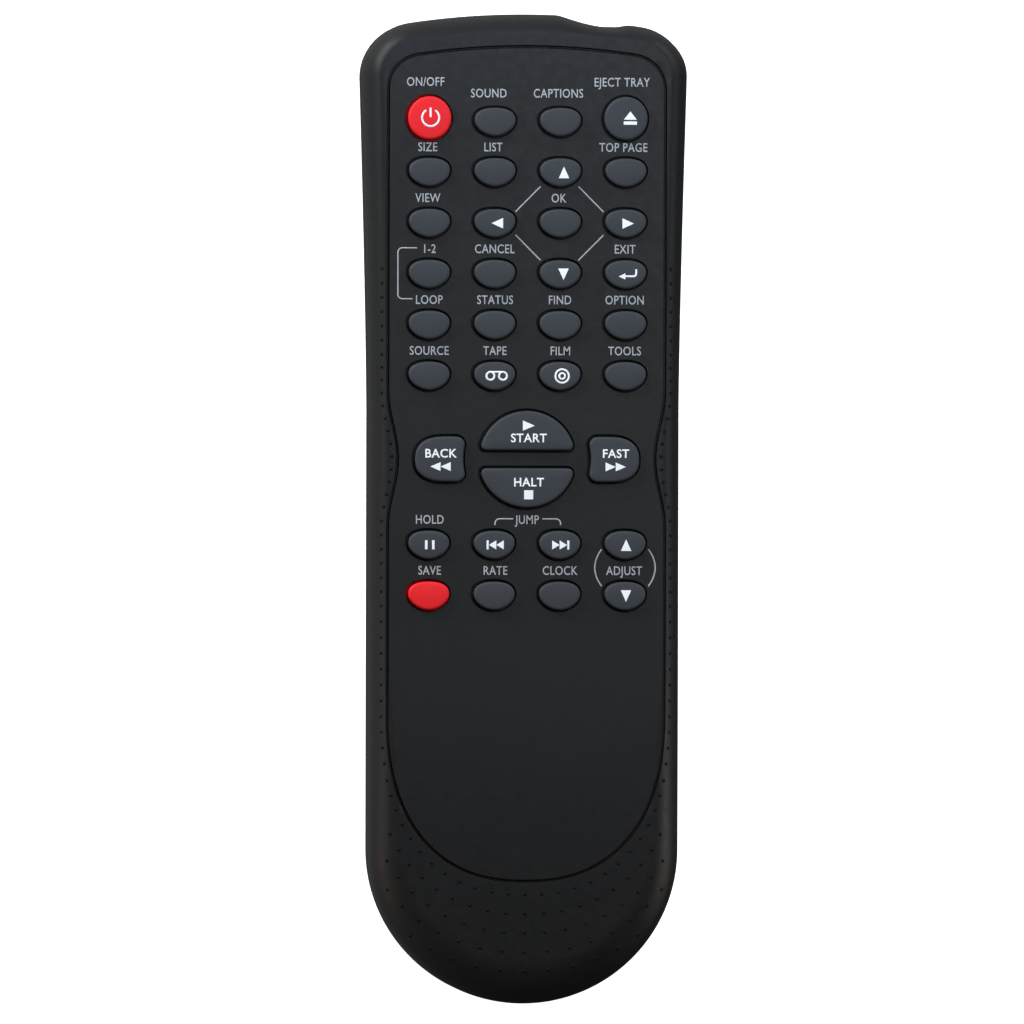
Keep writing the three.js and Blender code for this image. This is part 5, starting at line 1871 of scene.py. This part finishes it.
@dataclass
class KeyPrint:
    """Symbols and words on the faces of the keys."""

    plan: Plan
    caps: dict[str, Piece]
    line_width: float = 0.34 * MM
    corner: float = 0.5 * MM
    cap: float = 1.6 * MM
    weight: float = 0.016
    narrow: float = 0.98
    right_shift: float = 0.2 * MM
    shift: float = 0.25 * MM
    arrow_size: Flat = (2.1 * MM, 1.9 * MM)
    arrows: tuple[tuple[str, float, float], ...] = (
        ("up", QUARTER, 0.45 * MM),
        ("down", -QUARTER, 0.4 * MM),
        ("left", pi, 0.25 * MM),
        ("right", 0.0, 0.25 * MM),
        ("tracking_up", QUARTER, 0.0),
        ("tracking_down", -QUARTER, 0.0),
    )
    power_radius: float = 1.55 * MM
    power_gap: float = 0.55
    power_stem: Flat = (0.1 * MM, 1.8 * MM)
    eject_x: float = 0.6 * MM
    eject_rise: Flat = (0.5 * MM, -0.85 * MM)
    eject_arrow: Flat = (1.5 * MM, 2.4 * MM)
    eject_bar: float = 0.6 * MM
    back_right: Flat = (1.75 * MM, 0.95 * MM)
    back_left: Flat = (-0.85 * MM, -0.35 * MM)
    back_arrow: Flat = (1.2 * MM, 1.1 * MM)
    reel_radius: float = 0.72 * MM
    reel_half: float = 1.14 * MM
    disc_radii: Flat = (1.22 * MM, 0.52 * MM)
    pause_half: float = 0.64 * MM
    pause_bar: Flat = (0.45 * MM, 1.65 * MM)
    skip_arrow: Flat = (1.35 * MM, 1.65 * MM)
    skip_bar: Flat = (0.38 * MM, 1.65 * MM)
    skip_places: Flat = (-0.2 * MM, 1.38 * MM)
    large_shift: float = 0.1 * MM
    play_arrow: Flat = (2.15 * MM, 1.85 * MM)
    play_places: Flat = (3.92 * MM, 6.1 * MM)
    stop_square: float = 1.65 * MM
    stop_places: Flat = (-4.1 * MM, -6.45 * MM)
    beside_arrow: Flat = (1.85 * MM, 1.6 * MM)
    beside_places: Flat = (1.1 * MM, -1.36 * MM)

    def power(self, pen: Pen, x: float, y: float) -> None:
        """Draws the on and off symbol."""
        start, end = QUARTER + self.power_gap, QUARTER + 2 * pi - self.power_gap
        pen.stroke(arc(x, y, self.power_radius, start, end, pen.ring_sides))
        pen.stroke([(x, y + height) for height in self.power_stem])

    def eject(self, pen: Pen, x: float, y: float) -> None:
        """Draws the triangle and bar that let the tray out."""
        pen.triangle(x + self.eject_x, y + self.eject_rise[0], *self.eject_arrow, QUARTER)
        pen.bar(x + self.eject_x, y + self.eject_rise[1], self.eject_arrow[1], self.eject_bar)

    def arrow(self, pen: Pen, x: float, y: float, heading: float, shift: float) -> None:
        """Draws one arrow."""
        pen.triangle(x + shift, y, *self.arrow_size, heading)

    def back(self, pen: Pen, x: float, y: float) -> None:
        """Draws the bent arrow that leads back.

        Args:
            pen: The pen.
            x: The symbol's middle.
            y: The symbol's middle.
        """
        right, high = x + self.back_right[0], y + self.back_right[1]
        left, low = x + self.back_left[0], y + self.back_left[1]
        pen.stroke([(right, high), (right, low), (left, low)])
        pen.triangle(left, low, *self.back_arrow, pi)

    def reels(self, pen: Pen, x: float, y: float) -> None:
        """Draws the two reels of a tape.

        Args:
            pen: The pen.
            x: The symbol's middle.
            y: The symbol's middle.
        """
        ends = [x + self.right_shift + side * self.reel_half for side in (-1, 1)]
        for end in ends:
            pen.ring(end, y, self.reel_radius)
        pen.stroke([(end, y + self.reel_radius) for end in ends])

    def disc(self, pen: Pen, x: float, y: float) -> None:
        """Draws a disc with its middle."""
        for radius in self.disc_radii:
            pen.ring(x + self.right_shift, y, radius)

    def pause(self, pen: Pen, x: float, y: float) -> None:
        """Draws the two bars."""
        for side in (-1, 1):
            pen.bar(x + side * self.pause_half, y, *self.pause_bar)

    def double(self, pen: Pen, x: float, y: float, side: int, size: Flat) -> None:
        """Draws two arrows in a row."""
        heading = 0.0 if side > 0 else pi
        for place in (-1, 1):
            pen.triangle(x + place * size[0] / 2, y, *size, heading)

    def skip(self, pen: Pen, x: float, y: float, side: int) -> None:
        """Draws two arrows up to a bar."""
        self.double(pen, x + side * self.skip_places[0], y, side, self.skip_arrow)
        pen.bar(x + side * self.skip_places[1], y, *self.skip_bar)

    def face(self, pen: Pen, text: str, x: float, y: float) -> None:
        """Sets a bold word round a middle."""
        pen.word(text, x, y - self.cap / 2, self.cap, self.narrow, self.weight)

    def play(self, pen: Pen, x: float, _y: float) -> None:
        """Draws the play symbol over its word."""
        word_y, arrow_y = (self.plan.disc_y + place for place in self.play_places)
        pen.triangle(x + self.large_shift, arrow_y, *self.play_arrow, 0.0)
        self.face(pen, "START", x + self.large_shift, word_y)

    def stop(self, pen: Pen, x: float, _y: float) -> None:
        """Draws the stop symbol under its word."""
        word_y, square_y = (self.plan.disc_y + place for place in self.stop_places)
        self.face(pen, "HALT", x + self.large_shift, word_y)
        pen.bar(x + self.large_shift, square_y, self.stop_square, self.stop_square)

    def beside(self, pen: Pen, x: float, y: float, side: int) -> None:
        """Draws the word and the double arrow of a key beside the disc."""
        self.face(pen, "FAST" if side > 0 else "BACK", x, y + self.beside_places[0])
        self.double(pen, x, y + self.beside_places[1], side, self.beside_arrow)

    def marks(self) -> dict[str, Callable[..., None]]:
        """Lists what is drawn on which key.

        Returns:
            The drawing methods by the key's short name.
        """
        marks = {
            "power": self.power,
            "eject": self.eject,
            "return": self.back,
            "tape": self.reels,
            "disc": self.disc,
            "play": self.play,
            "stop": self.stop,
            "rewind": partial(self.beside, side=-1),
            "forward": partial(self.beside, side=1),
            "pause": self.pause,
            "skip_back": partial(self.skip, side=-1),
            "skip_forward": partial(self.skip, side=1),
        }
        for name, heading, shift in self.arrows:
            marks[name] = partial(self.arrow, heading=heading, shift=shift)
        return marks

    def build(self) -> None:
        """Prints every marked key. The printing moves with its key."""
        for name, draw in self.marks().items():
            middle = self.plan.centre(name)
            pen = Pen(WHITE_INK, line_width=self.line_width, corner=self.corner)
            draw(pen, middle.x + self.shift, middle.y)
            faces = BVHTree.FromObject(self.caps[name], bpy.context.evaluated_depsgraph_get())

            def height(x: float, y: float) -> float:
                """Finds the height of the key's face at a place."""
                hit = faces.ray_cast(Vector((x, y, 1.0)), Vector((0.0, 0.0, -1.0)))[0]
                return hit.z

            piece = pen.print(name + "_print", height)
            seat(piece, name + "_key", Slot.RED_KEY if name in Plan.RED else Slot.KEY)


@dataclass
class GripPips:
    """Rows of low pips beside the panel and round the tail, in a darker plastic that paints in the
    shade round each pip.
    """

    plan: Plan
    shell: Piece
    radius: float = 0.34 * MM
    height: float = 0.18 * MM
    side_gap: float = 1.1 * MM
    tail_gap: float = 2.35 * MM
    side_pitch: float = 2.4 * MM
    tail_pitch: float = 3.5 * MM
    first_y: float = 43.7 * MM
    side_steps: tuple[tuple[int, float], ...] = (
        (6, 2.59 * MM),
        (12, 2.33 * MM),
        (7, 2.57 * MM),
        (20, 2.87 * MM),
    )
    fan_y: float = -39.4 * MM
    fan_step: float = radians(5.72)
    single_columns: int = 12
    fan_columns: int = 9
    rows: int = 6
    edge_gap: float = 2.1 * MM
    path_step: float = 0.1 * MM
    fall: float = 10 * MM

    def side_row(self) -> Line:
        """Places the single row along the right side, down to the fan.

        Returns:
            The places, from the front to the tail.
        """
        line = refined(offset(self.plan.case.groove(), self.side_gap), self.path_step)
        right = sorted((p for p in line if p[0] > 0 and p[1] <= self.first_y), key=lambda p: -p[1])
        steps = [step for count, step in self.side_steps for _ in range(count)]
        end = (self.single_columns + 0.5) * self.fan_step
        places, travelled, target = [], 0.0, 0.0
        for start, stop in zip(right, right[1:]):
            length = dist(start, stop)
            while target <= travelled + length:
                share = (target - travelled) / length
                place = tuple(a + (b - a) * share for a, b in zip(start, stop))
                if self.bearing(place) < end:
                    return places
                places.append(place)
                target += steps[len(places) - 1]
            travelled += length
        return places

    def bearing(self, place: Flat) -> float:
        """Gives the direction of a place from the fan's centre, with 0 towards the tail."""
        return atan2(place[0], self.fan_y - place[1])

    def reach(self, line: Line, turn: float) -> float:
        """Finds how far a line lies from the fan's centre in one direction."""
        near = min(line, key=lambda place: abs(self.bearing(place) - turn))
        return dist(near, (0.0, self.fan_y))

    def fan(self) -> Line:
        """Places the pips round the tail, on rays from one point of the panel.

        Returns:
            The places.
        """
        groove = refined(self.plan.case.groove(), self.path_step)
        outline = refined(self.plan.case.loop(self.edge_gap), self.path_step)
        places = []
        for column in range(-self.single_columns, self.single_columns + 1):
            turn = column * self.fan_step
            share = cos(turn) ** 2
            start = self.side_gap + (self.tail_gap - self.side_gap) * share
            pitch = self.side_pitch + (self.tail_pitch - self.side_pitch) * share
            rows = self.rows if abs(column) <= self.fan_columns else 1
            near, far = self.reach(groove, turn) + start, self.reach(outline, turn)
            for row in range(rows):
                along = near + row * pitch
                if along < far:
                    places.append((along * sin(turn), self.fan_y - along * cos(turn)))
        return places

    def build(self) -> None:
        """Builds the pips on the shell."""
        side = self.side_row()
        places = side + [(-x, y) for x, y in side] + self.fan()
        above = self.plan.case.panel_z + self.fall
        seeds = Form.object("grip_pips", [(x, y, above) for x, y in places], [])
        values = {
            "Shell": self.shell,
            "Radius": self.radius,
            "Height": self.height,
            # The pips' darker finish is painted shade round each pip, not a different plastic.
            "Finish": PIP_PLASTIC_PAINTED_SHADE.material(),
        }
        seat(PipTool().run(seeds, values), Body.CASE.value, Slot.CASE)


@dataclass
class PowerPack:
    """The two cells and the springs of their contacts."""

    radius: float = 7.25 * MM
    length: float = 50.5 * MM
    edge: float = 0.8 * MM
    nub_radius: float = 2.75 * MM
    nub_height: float = 1.0 * MM
    crimp: float = 0.35 * MM
    foot_radius: float = 4.1 * MM
    tip_radius: float = 2.3 * MM
    wire: float = 0.8 * MM
    spring_length: float = 5 * MM
    curls: float = 3.0
    foot_shares: Flat = (0.72, 0.76)
    foot_lift_share: float = 0.4
    crimp_shares: Flat = (1.5, 1.6)
    band_shares: Flat = (0.8, 0.86)
    bare_share: float = 0.5
    bare_edge_share: float = 0.4
    edge_steps: int = 5
    nub_steps: int = 4
    sharp_angle: float = 40.0

    def profile(self) -> Line:
        """Gives the outline of a cell, from its foot to its nub.

        Returns:
            Radius and distance from the foot.
        """
        r, e, shoulder = self.radius, self.edge, self.length - self.nub_height
        lift, (hollow, flat) = self.crimp * self.foot_lift_share, self.foot_shares
        start, end = self.crimp_shares
        foot = [(r * hollow, 0.0), (r * flat, lift), (r - e, lift)]
        low = arc(r - e, e, e, -QUARTER, 0.0, self.edge_steps)
        high = arc(r - e, shoulder - e, e, 0.0, QUARTER, self.edge_steps)
        inner = [(r - start * e, shoulder), (r - end * e, shoulder - self.crimp)]
        nub = [(self.nub_radius, shoulder - self.crimp)]
        nub_x, nub_y = self.nub_radius - self.crimp, self.length - self.crimp
        tip = arc(nub_x, nub_y, self.crimp, 0.0, QUARTER, self.nub_steps)
        return [*foot, *low, *high, *inner, *nub, *tip]

    def cell(self, name: str, facing: int) -> None:
        """Builds one cell.

        Args:
            name: The node that it stands for.
            facing: 1 if its nub points to the front, and -1 if it points to the tail.
        """
        low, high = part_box(name)
        middle = (low + high) / 2
        foot_y = low.y if facing > 0 else high.y
        foot = Vector((middle.x, foot_y, middle.z))
        piece = Form.lathe(name + "_jacket", self.profile(), CELL_SIDES, foot, facing)
        Form.smooth(piece, self.sharp_angle, weighted=False)
        ends = sorted(foot_y + facing * self.length * share for share in self.band_shares)
        dress(piece, BandedJacket(name + "_jacket", band_low=ends[0], band_high=ends[1]))
        piece.data.materials.append(CELL_STEEL.material())
        rim, inside = self.edge * self.bare_share, self.radius - self.edge * self.bare_edge_share
        for face in piece.data.polygons:
            away = abs(face.center.y - foot_y)
            radial = hypot(face.center.x - middle.x, face.center.z - middle.z)
            bare = away < rim or away > self.length - self.nub_height - rim
            face.material_index = 1 if bare and radial < inside else 0
        seat(piece, Body.CASE.value, Slot.CELL, name)

    def spring(self, name: str, facing: int) -> None:
        """Builds one contact spring.

        Args:
            name: The node that it stands for.
            facing: 1 if its tip points to the front, and -1 if it points to the tail.
        """
        low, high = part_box(name)
        middle = (low + high) / 2
        coil = Form.object(name + "_coil", [], [])
        values = {
            "Foot radius": self.foot_radius,
            "Tip radius": self.tip_radius,
            "Climb": self.spring_length - self.wire,
            "Curls": self.curls,
            "Wire radius": self.wire / 2,
            "Finish": PLATED_STEEL.material(),
        }
        SpringTool().run(coil, values)
        coil.data.transform(Matrix.Rotation(0.0 if facing > 0 else pi, 4, "Z"))
        foot = low.y + self.wire / 2 if facing > 0 else high.y - self.wire / 2
        coil.data.transform(Matrix.Translation((middle.x, foot, middle.z)))
        seat(coil, Body.CASE.value, Slot.CONTACT, name)

    def build(self) -> None:
        """Builds the cells and springs."""
        self.cell("battery_left", 1)
        self.cell("battery_right", -1)
        self.spring("tail_spring", 1)
        self.spring("front_spring", -1)


@dataclass
class SendingWindow:
    """The smoked lens in the front edge."""

    lap: float = 1 * MM
    flange: float = 1 * MM
    rounding: float = 0.35 * MM
    sharp_angle: float = 35.0

    def build(self) -> None:
        """Builds the lens with the flange behind it."""
        low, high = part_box("ir_window")
        lens = Form.block(
            (low.x + self.lap, low.y + self.flange / 2, low.z),
            (high.x - self.lap, high.y, high.z - self.lap),
            rounding=self.rounding,
        )
        flange = Form.block(tuple(low), (high.x, low.y + self.flange, high.z))
        window = Form.change(lens, Join.ADD, flange)
        window.name = "window_lens"
        Form.smooth(window, self.sharp_angle)
        seat(dress(window, SMOKED_LENS), Body.CASE.value, Slot.WINDOW, "ir_window")


def dress_inner_pieces() -> None:
    """Gives the pieces inside the case, whose solids stay, their finishes."""
    finishes = {
        "keypad_mat": MAT_RUBBER,
        "circuit_board": BOARD_LAMINATE,
        "ir_led": LED_RESIN,
        "controller_chip": CHIP_EPOXY,
        "transistor": CHIP_EPOXY,
        "capacitor": CAPACITOR_SLEEVE,
        "resonator": RESONATOR_COAT,
        "resistor": RESISTOR_COAT,
        "bridge_contact": PLATED_STEEL,
        "positive_contact": PLATED_STEEL,
        "negative_contact": PLATED_STEEL,
    }
    for name, finish in finishes.items():
        dress(frame["nodes"][name], finish)
        LOG.info("%s keeps its solid and takes %s", name, finish.name)


@dataclass(frozen=True)
class SoftBox:
    """A flat lamp that faces a place on the handset."""

    name: str
    place: Place
    power: float
    colour: Colour
    size: float = 0.26
    target: Place = (0.0, 0.0, 0.0)

    def build(self) -> None:
        """Builds the lamp. The camera doesn't see it."""
        data = bpy.data.lights.new(self.name, "AREA")
        data.shape = "SQUARE"
        data.size = self.size
        data.energy, data.color = self.power, self.colour
        made = placed(self.name, data)
        made.location = self.place
        made.rotation_mode = "QUATERNION"
        away = Vector(self.target) - Vector(self.place)
        made.rotation_quaternion = away.to_track_quat("-Z", "Y")
        made.visible_camera = False


@dataclass
class Studio:
    """A white floor, soft lights and a camera straight above, a little to the left."""

    frame_pixels: float = 1024.0
    pixels_per_mm: float = 5.493
    middle_px: Flat = (522.0, 509.05)
    middle_z: float = 11 * MM
    focus_z: float = 14 * MM
    tilt: float = radians(3.6)
    roll: float = radians(0.126)
    lens: float = 600.0
    sensor: float = 36.0
    clip_shares: Flat = (0.1, 4.0)
    even_light: float = 0.035
    front_light: float = 0.67
    left_light: float = 0.35
    sky_colour: Colour = (0.98, 0.99, 1.0)
    floor_glow: float = 1.0
    floor_half: float = 4.0
    floor_gap: float = 0.02 * MM
    floor_greys: Flat = (0.9, 0.92)
    floor_cloud: float = 0.2
    floor_roughness: float = 0.9
    floor_specular: float = 0.1
    boxes: tuple[SoftBox, ...] = (
        SoftBox("front_left_box", (-0.332, 0.332, 0.171), 2.12, (0.985, 1.0, 1.0)),
        SoftBox("front_right_box", (0.332, 0.332, 0.171), 0.637, (0.935, 0.975, 1.0)),
        SoftBox("high_box", (0.086, 0.148, 0.47), 0.674, (0.94, 0.98, 1.0)),
        SoftBox("right_box", (0.47, 0.0, 0.171), 0.354, (0.68, 0.88, 1.0)),
        SoftBox("left_box", (-0.47, 0.0, 0.171), 0.172, (0.41, 0.85, 1.0)),
        SoftBox("front_box", (0.0, 0.18, 0.22), 0.09, (0.1, 0.4, 1.0), 0.12),
        SoftBox("tail_left_box", (-0.2, -0.1, 0.06), 0.06, (1.0, 0.6, 0.4), 0.12, (0.0, -0.07, 0.0)),
        SoftBox("tail_right_box", (0.2, -0.1, 0.06), 0.11, (1.0, 0.85, 0.75), 0.12, (0.0, -0.07, 0.0)),
    )

    def camera(self) -> None:
        """Places the camera so that the handset lies in the frame as photographed."""
        scale = MM / self.pixels_per_mm
        width = self.frame_pixels * scale
        distance = width * self.lens / self.sensor
        data = bpy.data.cameras.new("camera")
        data.lens, data.sensor_width = self.lens, self.sensor
        data.clip_start, data.clip_end = (distance * share for share in self.clip_shares)
        right = Vector((cos(self.tilt), 0.0, sin(self.tilt)))
        away = Vector((-sin(self.tilt), 0.0, cos(self.tilt)))
        up = Vector((0.0, 1.0, 0.0))
        turn = Matrix.Rotation(self.roll, 3, away)
        right, up = turn @ right, turn @ up
        aside = (self.frame_pixels / 2 - self.middle_px[0]) * scale
        above = (self.middle_px[1] - self.frame_pixels / 2) * scale
        target = Vector((0.0, 0.0, self.middle_z)) + right * aside + up * above
        target += away * (self.focus_z - self.middle_z)
        made = placed("camera", data)
        basis = Matrix((right, up, away)).transposed().to_4x4()
        made.matrix_world = Matrix.Translation(target + away * distance) @ basis
        bpy.context.scene.camera = made

    def world(self) -> None:
        """Sets the light from the front and the left, and white where the camera looks past it."""
        world = bpy.data.worlds.new("studio")
        bpy.context.scene.world = world
        world.use_nodes = True
        tree = NodeTree(world.node_tree)
        tree.tree.nodes.clear()
        way = tree.node("ShaderNodeTexCoord", {}).outputs["Generated"]
        values = {0: way, 1: (-1.0, 1.0, 0.0)}
        towards = tree.node("ShaderNodeVectorMath", values, operation="MULTIPLY")
        kept = tree.node("ShaderNodeVectorMath", {0: towards}, operation="MAXIMUM")
        values = {0: kept, 1: (self.left_light, self.front_light, 0.0)}
        sky = tree.node("ShaderNodeVectorMath", values, operation="DOT_PRODUCT")
        total = tree.node("ShaderNodeMath", {0: sky.outputs["Value"], 1: self.even_light})
        values = {"Color": (*self.sky_colour, 1.0), "Strength": total}
        dim = tree.node("ShaderNodeBackground", values)
        pale = tree.node("ShaderNodeBackground", {"Color": WHITE})
        seen = tree.node("ShaderNodeLightPath", {}).outputs["Is Camera Ray"]
        mix = tree.node("ShaderNodeMixShader", {"Fac": seen, 1: dim, 2: pale})
        tree.node("ShaderNodeOutputWorld", {"Surface": mix})

    def floor(self) -> None:
        """Lays the white floor, which glows a little and throws no light on the handset."""
        half = self.floor_half
        flat = [(-half, -half), (half, -half), (half, half), (-half, half)]
        corners = [(*place, -self.floor_gap) for place in flat]
        floor = Form.object("floor", corners, [(0, 1, 2, 3)])
        tree = ShaderTree("floor_paper")
        dark, light = ((grey, grey, grey) for grey in self.floor_greys)
        tree.set("Base Color", tree.blend(tree.noise(self.floor_cloud), dark, light))
        tree.set("Roughness", self.floor_roughness)
        tree.set("Specular IOR Level", self.floor_specular)
        tree.set("Emission Color", WHITE)
        tree.set("Emission Strength", self.floor_glow)
        floor.data.materials.append(tree.material)
        floor.visible_diffuse = False
        floor.visible_glossy = False

    def build(self) -> None:
        """Builds the studio."""
        self.camera()
        self.floor()
        self.world()
        for box in self.boxes:
            box.build()
        bpy.context.scene.view_settings.view_transform = "Standard"


def main() -> None:
    """Builds the handset piece by piece, and the studio round it."""
    logging.basicConfig(level=logging.INFO, format="%(message)s")
    plan = Plan()
    shell = UpperCase(plan).build()
    lower = LowerCase(plan)
    lower.build()
    BatteryDoor(lower).build()
    caps = Keypad(plan).build()
    KeyPrint(plan, caps).build()
    panel = PanelPrint(plan)
    panel.words()
    panel.lines()
    GripPips(plan, shell).build()
    SendingWindow().build()
    PowerPack().build()
    dress_inner_pieces()
    Studio().build()


if __name__ == "__main__":
    main()
